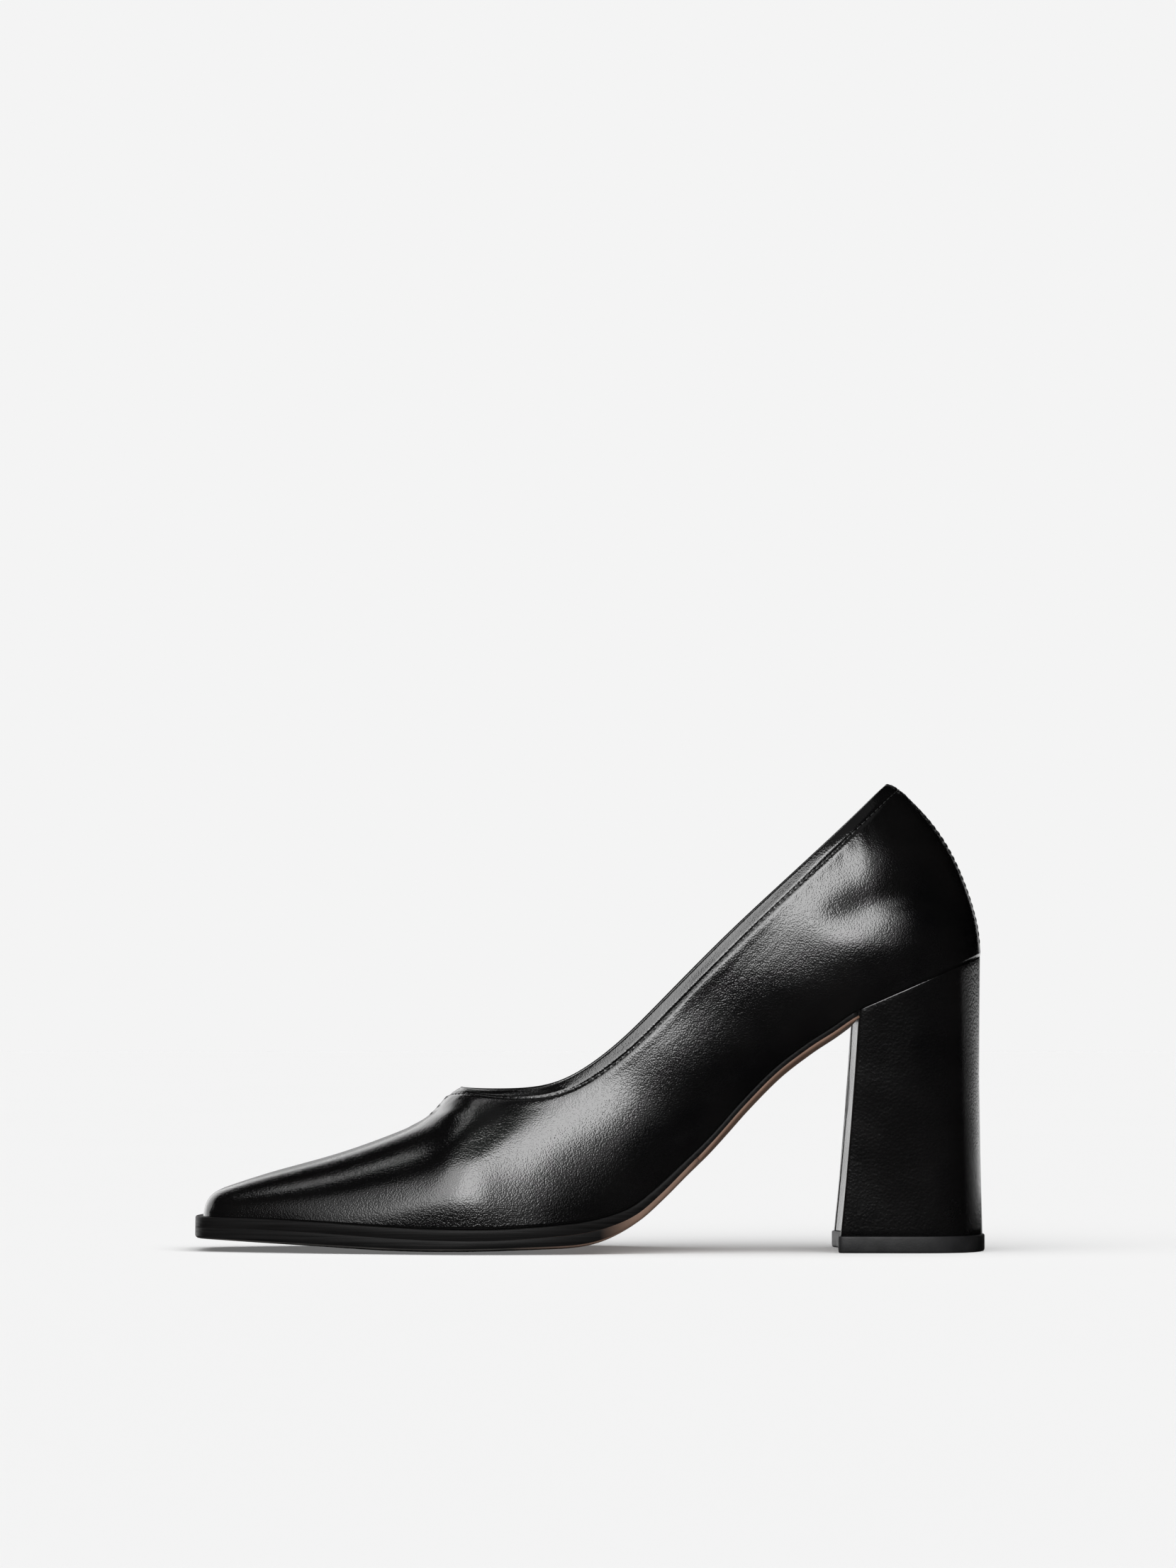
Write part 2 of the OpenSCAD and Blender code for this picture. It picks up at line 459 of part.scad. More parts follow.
module heel_block() color("#2b2b2d") difference() {
    n = heel_ring_n;
    k = len(HEEL_LEVELS);
    seat_middle = on_sole(heel_middle.x, 0, 0);
    points = concat([for (s = HEEL_LEVELS, i = [0:n - 1]) heel_point(i, s, cover_t)],
        [[heel_middle.x, 0, top_piece_t], seat_middle]);
    faces = concat([for (i = [0:n - 1]) [n * k, i, (i + 1) % n]],
        [for (l = [0:k - 2], i = [0:n - 1]) let (a = l * n + i, b = l * n + (i + 1) % n)
            each [[a, b + n, b], [a, a + n, b + n]]],
        [for (i = [0:n - 1]) [n * k + 1, (k - 1) * n + (i + 1) % n, (k - 1) * n + i]]);
    polyhedron(points, faces, convexity = 8);
    // Cup in the seat for the ends of the midsole and the outsole.
    translate([breast_x, 0, sole_z(breast_x)]) rotate([0, -seat_a, 0]) translate([-4, -cup_w / 2, -cup_d])
        cube([cup_l + 4, cup_w, cup_d + 1]);
    seat_at(SCREW_X, 0, 0) translate([0, 0, -pilot_l]) cylinder(r = screw_r, h = pilot_l + 1);
    for (p = NAILS) seat_at(p.x, p.y, 0)
            translate([0, 0, -nail_depth]) cylinder(r = nail_r, h = nail_depth + 1);
    pins(pin_r, top_piece_t - 1, top_piece_t + pin_up);
}
wrap = 1;
module heel_cover() color("#161618")
    heel_skin(-wrap, side_n + wrap, 0.1, cover_t, HEEL_LEVELS);
module breast_cover() color("#1c1c1e")
    heel_skin(side_n + wrap, heel_ring_n - wrap, 0.1, cover_t, BREAST_LEVELS);
module top_piece() color("#1b1b1b") difference() {
    linear_extrude(top_piece_t)
        polygon([for (i = [0:heel_ring_n - 1]) heel_plan(i, 0, -top_piece_lip)]);
    pins(pin_r, 1.5, top_piece_t + 1);
}
module top_piece_pins() color("#9aa0a6")
    pins(pin_r - shaft_gap, 1.6, top_piece_t + pin_up - 0.2);

// The screw and the nails run from the insole board into the block; their heads are sunk in the board.
screw_l = 24;
nail_depth = 15;
module fastener(r, head_r, length) {
    translate([0, 0, -length]) cylinder(r = r - shaft_gap, h = length + board_top - head_t);
    translate([0, 0, board_top - head_t]) cylinder(r = head_r - shaft_gap, h = head_t);
}
module heel_screw() color("#a7acb1") seat_at(SCREW_X, 0, 0) fastener(screw_r, screw_head_r, screw_l);
module heel_nails() color("#8c9196") for (p = NAILS) seat_at(p.x, p.y, 0)
    fastener(nail_r, nail_head_r, nail_depth - 0.3);

// Stitches: short lengths of thread laid on the skin between two places.
thread_lift = thread_d / 2 + 0.05;
stitch_gap = 0.35;
module stitch(a, b) {
    v = b - a;
    l = norm(v) - stitch_gap;
    translate(a + unit(v) * stitch_gap / 2) rotate([0, acos(v.z / norm(v)), atan2(v.y, v.x)])
        cylinder(d = thread_d, h = l, $fn = 16);
}
function above_skin(u, v) = skin(u, v) + thread_lift * facing(u, v);
wall_h = function (u) norm(top_of(u) - skin(u, 0)) * 1.06;
function seam_v(u, from_top) = 1 - from_top / wall_h(u);
// Positions along a path at an even pitch: walks the path's fine points and keeps those a pitch apart.
function walk(path, pitch, i = 1, last = 0, kept = [0]) = i >= len(path) ? kept
    : norm(path[i] - path[last]) >= pitch ? walk(path, pitch, i + 1, i, concat(kept, [i]))
    : walk(path, pitch, i + 1, last, kept);
module stitch_row(path) {
    k = walk(path, stitch_pitch);
    for (i = [0:1:len(k) - 2]) stitch(path[k[i]], path[k[i + 1]]);
}
fine = 0.02;
throat_gap = 0.35;
module topline_stitching() color("#0c0c0d")
    stitch_row([for (u = [throat + throat_gap:fine:loop_n - throat - throat_gap])
        above_skin(u, seam_v(u, stitch_inset))]);
seam_side = 0.16;
module back_seam_stitching() color("#0c0c0d") for (side = [-1, 1])
    stitch_row([for (v = [0.06:0.003:0.9]) above_skin(stations + side * seam_side, v)]);
front_seam_from = 6.6;
front_side = 0.965;
module front_seam_stitching() color("#0c0c0d") for (side = [0, 1])
    stitch_row([for (u = [front_seam_from:fine:throat - 0.1])
        above_skin(side == 0 ? u : loop_n - u, front_side)]);

upper_leather();
topline_tape();
toe_puff();
heel_counter();
interlining();
vamp_lining();
quarter_lining();
heel_grip();
insole_board();
shank();
shank_rivets();
forepart_filler();
waist_filler();
sock_foam();
sock_lining();
midsole();
outsole_forepart();
outsole_waist();
heel_block();
heel_cover();
breast_cover();
top_piece();
top_piece_pins();
heel_screw();
heel_nails();
topline_stitching();
back_seam_stitching();
front_seam_stitching();
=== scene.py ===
import math
import bpy
import numpy as np
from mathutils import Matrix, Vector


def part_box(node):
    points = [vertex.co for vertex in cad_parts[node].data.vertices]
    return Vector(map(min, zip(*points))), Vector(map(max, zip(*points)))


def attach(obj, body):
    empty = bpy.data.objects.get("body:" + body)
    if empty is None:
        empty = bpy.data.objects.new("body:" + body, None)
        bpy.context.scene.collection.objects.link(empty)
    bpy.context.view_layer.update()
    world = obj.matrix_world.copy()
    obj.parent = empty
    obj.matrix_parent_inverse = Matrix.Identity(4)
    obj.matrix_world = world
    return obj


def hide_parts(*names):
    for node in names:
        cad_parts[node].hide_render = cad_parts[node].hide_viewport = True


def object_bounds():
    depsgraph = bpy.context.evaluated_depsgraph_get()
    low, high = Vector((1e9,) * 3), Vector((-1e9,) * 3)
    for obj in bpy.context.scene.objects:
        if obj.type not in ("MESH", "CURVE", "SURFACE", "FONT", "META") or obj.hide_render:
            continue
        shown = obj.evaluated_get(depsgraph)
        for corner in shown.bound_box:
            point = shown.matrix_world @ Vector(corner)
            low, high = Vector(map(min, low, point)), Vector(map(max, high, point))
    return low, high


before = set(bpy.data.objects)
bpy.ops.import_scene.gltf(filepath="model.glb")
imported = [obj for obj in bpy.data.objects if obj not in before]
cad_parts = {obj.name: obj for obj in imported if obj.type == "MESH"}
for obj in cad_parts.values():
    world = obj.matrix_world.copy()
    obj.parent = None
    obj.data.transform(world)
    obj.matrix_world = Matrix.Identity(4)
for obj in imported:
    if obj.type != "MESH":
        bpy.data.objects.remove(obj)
cad_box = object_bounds()
shoe_low, shoe_high = np.array(cad_box[0]), np.array(cad_box[1])
MM = 0.001


# Camera: it stands a good way off the shoe's outer side, at half its height, and looks slightly
# upwards, so the sole line is seen edge on.
def show(thing):
    bpy.context.scene.collection.objects.link(thing)


camera_data = bpy.data.cameras.new("camera")
camera_data.lens = 136.2
camera_data.sensor_width = 36
camera = bpy.data.objects.new("camera", camera_data)
camera.location = (-0.00054, -1.8, 0.072)
camera.rotation_euler = (math.radians(92.2), 0, 0)
show(camera)
bpy.context.scene.camera = camera


# Upper: two quarters and a vamp of black calf, pulled over a last and turned under the insole board
# by a margin. The mouth's edge is folded over a tape and stitched; a seam runs up the back, and a
# short one forward from the throat. Its shape follows stations along the feather line.
leather_t = 1.1
stiffener_t = 0.8
lining_t = 0.7
grip_t = 0.6
margin_w = 11.0
stitch_inset = 4.5
stitch_pitch = 2.2
seat_height = 72.5
seat_slope = math.tan(math.radians(23.4))

# Feather line: [x, y of the outer side, y of the inner side], toe to back.
FEATHER = np.array([
    [-117.0, 3, 3], [-116.4, -7.5, 13.5], [-112.5, -13.5, 19], [-100, -19.5, 24.5], [-80, -27.5, 30.5],
    [-62, -33, 34.8], [-50, -36, 37], [-42, -37.6, 37.8], [-34, -38.2, 38.2], [-24, -38, 38],
    [-10, -36.8, 36.3], [6, -33.5, 31.5], [22, -29, 25], [40, -25, 21], [60, -24, 20.5],
    [80, -26.5, 25], [98, -27.5, 27.5], [110, -23, 23.5], [116.5, -12.5, 13], [118.3, 0, 0]])
# Ridge of the vamp from toe to throat, and topline of the outer side from throat to back.
RIDGE = np.array([
    [-113.4, 3, 17], [-110.5, 2.9, 18.7], [-106, 2.8, 20.3], [-94, 2.4, 24.1], [-75, 1.8, 29.5],
    [-58, 1, 35.7], [-49, 0.5, 40.4], [-43.6, 0.2, 46], [-39, 0, 50]])
TOPLINE = np.array([
    [-39, 0, 50], [-33.5, -11, 49.7], [-22, -20, 49.7], [-8, -24.5, 52.3], [8, -25.5, 62.8],
    [24, -24.8, 78.3], [42, -23.6, 96.4], [58, -21.8, 111.7], [72, -18.5, 124.8], [82, -12.4, 134.4],
    [88, -6, 140.2], [90.2, 0, 142]])
# Roundness of the wall at each station: 1 is a quarter ellipse, 0 is straight.
ROUND = [1, 1, 1, 1, 1, 1, 1, 1, 1, 0.85, 0.7, 0.5, 0.35, 0.3, 0.3, 0.3, 0.35, 0.42, 0.48, 0.5]
# How far the wall swells outwards at each station.
SWELL = [0] * 10 + [0, 0.7, 1.6, 2.2, 2.4, 2.2, 2.0, 2.0, 2.2, 2.2]
# Sole line seen from the side: [x, height of the top of the sole]; the last rows are the heel seat.
SOLE_LINE = [
    [-130, 10.6], [-118, 10.4], [-100, 10.2], [-80, 9.3], [-60, 8.1], [-45, 7.5], [-28, 7.5],
    [-11, 8.6], [-3, 9.4], [5, 11.1], [12.5, 14], [19.5, 19.3], [26.8, 26], [35.7, 34.6],
    [45.5, 45.5], [55.2, 55.2], [65, 62.7], [72, 67.2], [80, 72.5]]
back_station = len(FEATHER) - 1
throat = len(RIDGE) - 1
loop_n = 2 * back_station
breast_station = 15
breast_x = FEATHER[breast_station][0]


def unit(v):
    return v / np.maximum(np.linalg.norm(v, axis=-1, keepdims=True), 1e-12)


def curve(knots, at, closed=True):
    """Curve of even curvature through knots, read at fractional positions along them."""
    values = np.array(knots, float).reshape(len(knots), -1)
    at, count = np.asarray(at, float), len(values)
    system = 4 * np.eye(count) + np.eye(count, k=1) + np.eye(count, k=-1)
    if closed:
        system[0, -1] = system[-1, 0] = 1
        padded = np.concatenate([values[-1:], values, values[:1]])
    else:
        system[0, 0] = system[-1, -1] = 2
        padded = np.concatenate([values[:1], values, values[-1:]])
    slopes = np.linalg.solve(system, 3 * (padded[2:] - padded[:-2]))
    k = np.floor(at).astype(int)
    if not closed:
        k = np.clip(k, 0, count - 2)
    t = (at - k)[:, None]
    a, b = k % count, (k + 1) % count
    rise = values[b] - values[a]
    return (values[a] + t * slopes[a] + t ** 2 * (3 * rise - 2 * slopes[a] - slopes[b])
            + t ** 3 * (slopes[a] + slopes[b] - 2 * rise))


def read_table(table, x):
    """Smooth curve through [x, value] rows, held level beyond its ends."""
    xs, ys = np.array(table, float).T
    x = np.clip(x, xs[0], xs[-1])
    ahead = np.minimum(np.arange(len(xs)) + 1, len(xs) - 1)
    behind = np.maximum(np.arange(len(xs)) - 1, 0)
    slopes = (ys[ahead] - ys[behind]) / (xs[ahead] - xs[behind])
    k = np.clip(np.searchsorted(xs, x, side="right") - 1, 0, len(xs) - 2)
    w = xs[k + 1] - xs[k]
    t = (x - xs[k]) / w
    p, q, rise = slopes[k] * w, slopes[k + 1] * w, ys[k + 1] - ys[k]
    return ys[k] + t * p + t ** 2 * (3 * rise - 2 * p - q) + t ** 3 * (p + q - 2 * rise)


def sole_z(x):
    return np.where(x > breast_x, seat_height + (x - breast_x) * seat_slope,
                    read_table(SOLE_LINE + [[breast_x + 20, seat_height + 20 * seat_slope]], x))


def sole_up(x):
    """Direction square to the sole line."""
    slope = sole_z(x + 0.5) - sole_z(x - 0.5)
    return unit(np.stack([-slope, 0 * slope, 1 + 0 * slope], axis=-1))


def on_sole(x, y, lift):
    return np.stack([x, y, sole_z(x)], axis=-1) + np.asarray(lift)[..., None] * sole_up(x)


def round_trip(values):
    return list(values) + list(values)[-2:0:-1]


feather_ring = round_trip(FEATHER[:, :2])[:back_station + 1] + [row[[0, 2]] for row in FEATHER[-2:0:-1]]
topline_ring = list(TOPLINE) + [row * [1, -1, 1] for row in TOPLINE[-2:0:-1]]


def feather(u):
    return curve(feather_ring, u)


def inward(u):
    """Direction, seen from above, from the feather line towards the middle of the foot."""
    p = feather(u)
    spine_front, spine_back, spine_shift = -96, 94, 2.5
    share = (spine_back - p[:, 0]) / (spine_back - spine_front)
    focus = np.stack([np.clip(p[:, 0], spine_front, spine_back), spine_shift * share], axis=-1)
    return unit(focus - p)


def inset(u, distance):
    return feather(u) + np.asarray(distance).reshape(-1, 1) * inward(u)


def smoothstep(t):
    t = np.clip(t, 0, 1)
    return t * t * (3 - 2 * t)


# Grid of the skin: columns round the shoe, rows from the feather line to the top.
per_station = 12
columns = loop_n * per_station
wall_rows = 76
column_u = np.arange(columns) / per_station
ridge_columns = throat * per_station
climb = np.linspace(0, 1, wall_rows)
wall_v = 1 - (1 - climb) ** 1.25

foot_xy = feather(column_u)
foot = np.concatenate([foot_xy, sole_z(foot_xy[:, :1])], axis=1)
nearer = np.minimum(column_u, loop_n - column_u)
top = np.where((nearer <= throat)[:, None], curve(RIDGE, np.minimum(nearer, throat), False),
               curve(topline_ring, column_u - throat))
roundness = np.clip(curve(round_trip(ROUND), column_u), 0, 1)
swell = curve(round_trip(SWELL), column_u)
outward = np.concatenate([-inward(column_u), np.zeros((columns, 1))], axis=1)
across = (1 - roundness) * wall_v + roundness * (1 - np.cos(wall_v * math.pi / 2))
rise = (1 - roundness) * wall_v + roundness * np.sin(wall_v * math.pi / 2)
reach = np.stack([across, across, rise], axis=-1)
skin = (foot[:, None] + (top - foot)[:, None] * reach
        + (swell * np.sin(math.pi * wall_v ** 0.7))[..., None] * outward[:, None])

# The two sides share the points of the ridge.
skin_id = np.arange(columns * wall_rows).reshape(columns, wall_rows)
for twin in range(1, ridge_columns + 1):
    skin_id[columns - twin, -1] = skin_id[twin, -1]


def relax(grid, rounds):
    """Evens the wall out, less and less towards its top."""
    hold = smoothstep((0.97 - wall_v[1:-1]) / 0.15)[None, :, None]
    for _ in range(rounds):
        even = (np.roll(grid, 1, axis=0)[:, 1:-1] + np.roll(grid, -1, axis=0)[:, 1:-1]
                + grid[:, :-2] + grid[:, 2:]) / 4
        grid = grid.copy()
        grid[:, 1:-1] += 0.5 * hold * (even - grid[:, 1:-1])
    return grid


skin = relax(skin, 60)

cell_c, cell_r = np.meshgrid(np.arange(columns), np.arange(wall_rows - 1), indexing="ij")
next_c = (cell_c + 1) % columns
skin_quads = np.stack([skin_id[cell_c, cell_r], skin_id[next_c, cell_r], skin_id[next_c, cell_r + 1],
                       skin_id[cell_c, cell_r + 1]], axis=-1).reshape(-1, 4)


def from_faces(values):
    """Direction at each grid point from one vector for each face round it."""
    total = np.zeros((columns * wall_rows, 3))
    for k in range(4):
        np.add.at(total, skin_quads[:, k], values)
    return unit(total)[skin_id]


def grid_normals(grid):
    a, b, c, d = (grid.reshape(-1, 3)[skin_quads[:, k]] for k in range(4))
    found = from_faces(np.cross(c - a, d - b))
    found[0, -1] = unit(found[1, -1] + found[0, -4])
    return found


# Slow waves and dents that pulling over the last leaves in the leather. Each row is one soft fold:
# [x, z] of its two ends, half width, depth (outwards is positive), and the side that it lies on.
FOLDS = [
    [66, 100, 116, 112, 5.0, -1.0, -1], [62, 88, 116, 96, 8, 0.5, -1], [76, 116, 100, 124, 7, 0.4, -1],
    [36, 51, 52, 59, 3.0, -0.35, -1], [20, 32, 38, 41, 3.0, -0.35, -1], [20, 73, 60, 108, 6, 0.3, -1],
    [-50, 41.5, -36, 45.5, 1.5, -0.28, -1], [-51.6, 38.6, -36, 42.2, 1.6, 0.16, -1],
    [-33.6, 43.6, -51.6, 31.4, 3, -0.16, -1], [-23, 44.7, -48, 28.5, 3, 0.2, -1],
    [-17.5, 45.4, -41, 28, 3.5, -0.22, -1],
    [74, 104, 110, 110, 5, -0.8, 1], [64, 89, 112, 97, 8, 0.6, 1], [30, 48, 50, 60, 4, -0.4, 1],
    [-36, 44, -22, 39, 2.6, -0.3, 1]]
normal = grid_normals(skin)
along_shoe, up_shoe = skin[..., 0], skin[..., 2]
wave_depth, fold_end = 0.18, 0.35
lift = (wave_depth * np.sin(along_shoe / 11 + up_shoe / 7)
        * np.sin(up_shoe / 13 - along_shoe / 29 + 1.3))
for x0, z0, x1, z1, half, depth, side in FOLDS:
    start, run = np.array([x0, z0]), np.array([x1 - x0, z1 - z0])
    flat = skin[..., [0, 2]] - start
    along = np.clip((flat @ run) / (run @ run), 0, 1)
    away = np.linalg.norm(flat - along[..., None] * run, axis=-1)
    on_side = smoothstep((skin[..., 1] * side - 1) / 4)
    ends = smoothstep(along / fold_end) * smoothstep((1 - along) / fold_end)
    lift += depth * np.exp(-(away / half) ** 2) * on_side * ends
fixed = (smoothstep(wall_v / 0.18)
         * np.where((nearer <= throat)[:, None], 1, smoothstep((1 - wall_v) / 0.12)))
skin = skin + (lift * fixed)[..., None] * normal
twins = np.arange(1, ridge_columns + 1)
skin[columns - twins, -1] = skin[twins, -1]

# Distance of each point from the topline, and how far along it that is.
rim_columns = np.arange(ridge_columns, columns - ridge_columns)
rim_line = skin[rim_columns, -1]
rim_tangent = unit(np.roll(rim_line, -1, axis=0) - np.roll(rim_line, 1, axis=0))
rim_steps = np.linalg.norm(np.roll(rim_line, -1, axis=0) - rim_line, axis=1)
rim_along = np.concatenate([[0], np.cumsum(rim_steps)[:-1]])
normal = grid_normals(skin)
rim_normal = normal[rim_columns, -1]
for _ in range(6):
    beside = np.roll(rim_normal, 1, axis=0) + np.roll(rim_normal, -1, axis=0)
    rim_normal = unit(rim_normal + 0.5 * beside)
rim_up = unit(np.cross(rim_tangent, rim_normal))
rim_up *= np.sign(((rim_line - skin[rim_columns, -3]) * rim_up).sum())
edge_d = np.zeros((columns, wall_rows))
edge_s = np.zeros((columns, wall_rows))
edge_up = np.zeros((columns, wall_rows, 3))
for c in range(columns):
    gap = skin[c][:, None] - rim_line[None]
    near = np.argmin((gap ** 2).sum(axis=-1), axis=1)
    best = gap[np.arange(wall_rows), near]
    slide = (best * rim_tangent[near]).sum(axis=-1)
    edge_s[c] = rim_along[near] + slide
    edge_d[c] = np.sqrt(np.maximum((best ** 2).sum(axis=-1) - slide ** 2, 0))
    edge_up[c] = rim_up[near]

# The folded edge is a round bead, so the skin stops one bead radius short of the topline.
bead_r, reach_down = (leather_t + stiffener_t) / 2, 7.0
skin = skin - (bead_r * smoothstep(1 - edge_d / reach_down))[..., None] * edge_up
edge_d = np.where(edge_d < reach_down, edge_d * (1 - bead_r / reach_down) + bead_r, edge_d)
for _ in range(4):
    normal = from_faces(normal.reshape(-1, 3)[skin_quads].sum(axis=1))

# Where a point of the skin goes for each millimetre of depth. The first two rows are the margin's
# inner edge and the feather corner.
margin_xy = inset(column_u, margin_w)
margin = on_sole(margin_xy[:, 0], margin_xy[:, 1], np.zeros(columns))
foot_up = sole_up(foot[:, 0])
foot_in = inward(column_u)
foot_slope = sole_z(foot[:, 0] + 0.5) - sole_z(foot[:, 0] - 0.5)
corner_sink = np.stack([foot_in[:, 0], foot_in[:, 1], foot_slope * foot_in[:, 0]], axis=-1) + foot_up
body_rows = wall_rows + 1
body = np.concatenate([margin[:, None], skin], axis=1)
sink = -normal + ((1 - wall_v) ** 2)[None, :, None] * foot_up[:, None]
sink[:, 0] = corner_sink
sink = np.concatenate([sole_up(margin[:, 0])[:, None], sink], axis=1)
body_id = np.arange(columns * body_rows).reshape(columns, body_rows)
body_id[columns - twins, -1] = body_id[twins, -1]
body_points = body.reshape(-1, 3)
body_sink = sink.reshape(-1, 3)
body_v = np.concatenate([[0], wall_v])


def add_piece(name, points, faces, smooth=True):
    """A mesh object at the origin, from points in millimetres; unused points are dropped."""
    used = sorted({int(k) for face in faces for k in face})
    place = {old: new for new, old in enumerate(used)}
    mesh = bpy.data.meshes.new(name)
    mesh.from_pydata((np.asarray(points)[used] * MM).tolist(), [],
                     [[place[int(k)] for k in face] for face in faces])
    mesh.polygons.foreach_set("use_smooth", [smooth] * len(mesh.polygons))
    mesh.update()
    piece = bpy.data.objects.new(name, mesh)
    show(piece)
    return piece, used


def closed_layer(quads, count):
    """Quads of a sheet and of its back, whose points come count later, with walls round its edges."""
    quads = [[int(k) for k in q] for q in quads]
    quads = [[k for i, k in enumerate(q) if k != q[i - 1]] for q in quads]
    edges = {(q[i], q[(i + 1) % len(q)]) for q in quads for i in range(len(q))}
    walls = [[b, a, a + count, b + count] for a, b in edges if (b, a) not in edges]
    return quads + [[k + count for k in q[::-1]] for q in quads] + walls


def sheet_quads(picked_columns, picked_rows, keep):
    """Grid cells between those columns and rows for which keep(u, v) is true."""
    cells = []
    for i, c in enumerate(picked_columns):
        d = picked_columns[(i + 1) % len(picked_columns)]
        stride = (picked_columns[1] - picked_columns[0]) / per_station
        u = min(column_u[c], loop_n - column_u[c] - stride)
        for low, high in zip(picked_rows[:-1], picked_rows[1:]):
            if keep(u, body_v[low] if low else -1):
                cells.append([body_id[c, low], body_id[d, low], body_id[d, high], body_id[c, high]])
    return cells


def set_attribute(piece, name, values):
    made = piece.data.attributes.new(name, "FLOAT", "POINT")
    made.data.foreach_set("value", np.asarray(values, np.float32))


# Fine relief of the outside, in millimetres: the stitched groove, the band above it that leans in to
# the fold, small puckers below it that grow towards the back, and the two short seams.
x, y, z = (skin[..., k] for k in range(3))
rear = smoothstep((x - 10) / 60)
groove = -0.30 * np.exp(-((edge_d - stitch_inset) / 0.6) ** 2)
fold_lean, fold_band = 0.85, 4.4
band = 0.05 * np.exp(-((edge_d - 6.4) / 1.3) ** 2) - fold_lean * np.clip(1 - edge_d / fold_band, 0, 1) ** 1.2
wander = edge_s + 1.4 * np.sin(edge_s / 9.7) + 0.9 * np.sin(edge_s / 4.1 + edge_d / 3)
pucker = (np.sin(wander * 1.45 + edge_d * 0.9) * (0.015 + 0.025 * rear)
          * np.exp(-((edge_d - 7.2) / 2.6) ** 2) * smoothstep((edge_d - stitch_inset) / 1.2))
slack = (0.012 * np.sin(edge_d * 1.9 + 1.2 * np.sin(edge_s / 8) + edge_s / 14)
         * rear * smoothstep((edge_d - 5) / 3) * smoothstep((26 - edge_d) / 14)
         * (0.5 + 0.5 * np.sin(edge_s / 13 + 0.6)))
at_back = smoothstep((x - 86) / 8)
seam_gap = np.abs(y)
back_seam = (-0.45 * np.exp(-(seam_gap / 0.38) ** 2) + 0.28 * np.exp(-((seam_gap - 1.5) / 1.0) ** 2)
             - 0.16 * np.exp(-((seam_gap - 2.1) / 0.3) ** 2)) * at_back
front_end = -56.0
ridge_y = 0.3
in_front = smoothstep((x - front_end) / 3) * smoothstep((-37 - x) / 1) * smoothstep((z - 32) / 4)
front_gap = np.abs(y - ridge_y)
front_seam = (-0.35 * np.exp(-(front_gap / 0.35) ** 2)
              + 0.2 * np.exp(-((front_gap - 1.3) / 0.9) ** 2)) * in_front
relief = groove + band + pucker + slack + back_seam + front_seam
relief[:, 0] = 0
relief[columns - twins, -1] = relief[twins, -1]
face_skin = skin + relief[..., None] * normal

# Outer sheet, then the inner sheet, which is as thick as the fold near the topline.
inner_rows = [0, 1] + list(range(5, body_rows - 14, 5)) + list(range(body_rows - 12, body_rows))
outer_count = columns * body_rows
outer_points = np.concatenate([margin[:, None], face_skin], axis=1).reshape(-1, 3)
fold_depth = leather_t + stiffener_t * smoothstep((5.0 - edge_d) / 2)
fold_depth = np.concatenate([np.full((columns, 1), leather_t), fold_depth], axis=1).reshape(-1, 1)
inner_points = body_points + fold_depth * body_sink
every = list(range(columns))
outer_quads = sheet_quads(every, list(range(body_rows)), lambda u, v: True)
inner_quads = [[k + outer_count for k in quad[::-1]]
               for quad in sheet_quads(every, inner_rows, lambda u, v: True)]
bead_steps = 6
bead_points, bead_rings = [], []
base = 2 * outer_count
for k, c in enumerate(rim_columns):
    low, high = body_id[c, -1], body_id[c, -1] + outer_count
    start, end = outer_points[low], inner_points[low]
    middle, half = (start + end) / 2, (start - end) / 2
    over = rim_up[k] * np.linalg.norm(half)
    ring = [low]
    for step in range(1, bead_steps):
        turn = math.pi * step / bead_steps
        bead_points.append(middle + half * math.cos(turn) + over * math.sin(turn))
        ring.append(base + len(bead_points) - 1)
    bead_rings.append(ring + [high])
bead_quads = [[ring[a], following[a], following[a + 1], ring[a + 1]]
              for ring, following in zip(bead_rings, bead_rings[1:] + bead_rings[:1])
              for a in range(bead_steps)]
margin_quads = [[b, a, a + outer_count, b + outer_count]
                for a, b in zip(body_id[:, 0], np.roll(body_id[:, 0], -1))]
all_points = np.concatenate([outer_points, inner_points, np.array(bead_points)])
upper_faces = [[int(k) for i, k in enumerate(quad) if k != quad[i - 1]]
               for quad in outer_quads + inner_quads + bead_quads + margin_quads]
upper, used_points = add_piece("calf_upper", all_points, upper_faces)

far_away, on_bead = 30.0, 1.0
distance = np.full(len(all_points), far_away)
distance[:outer_count] = np.pad(edge_d, ((0, 0), (1, 0)), constant_values=far_away).reshape(-1)
distance[2 * outer_count:] = on_bead
run_along = np.zeros(len(all_points))
run_along[:outer_count] = np.pad(edge_s, ((0, 0), (1, 0))).reshape(-1)
set_attribute(upper, "edge_distance", distance[used_points])
set_attribute(upper, "edge_run", run_along[used_points])


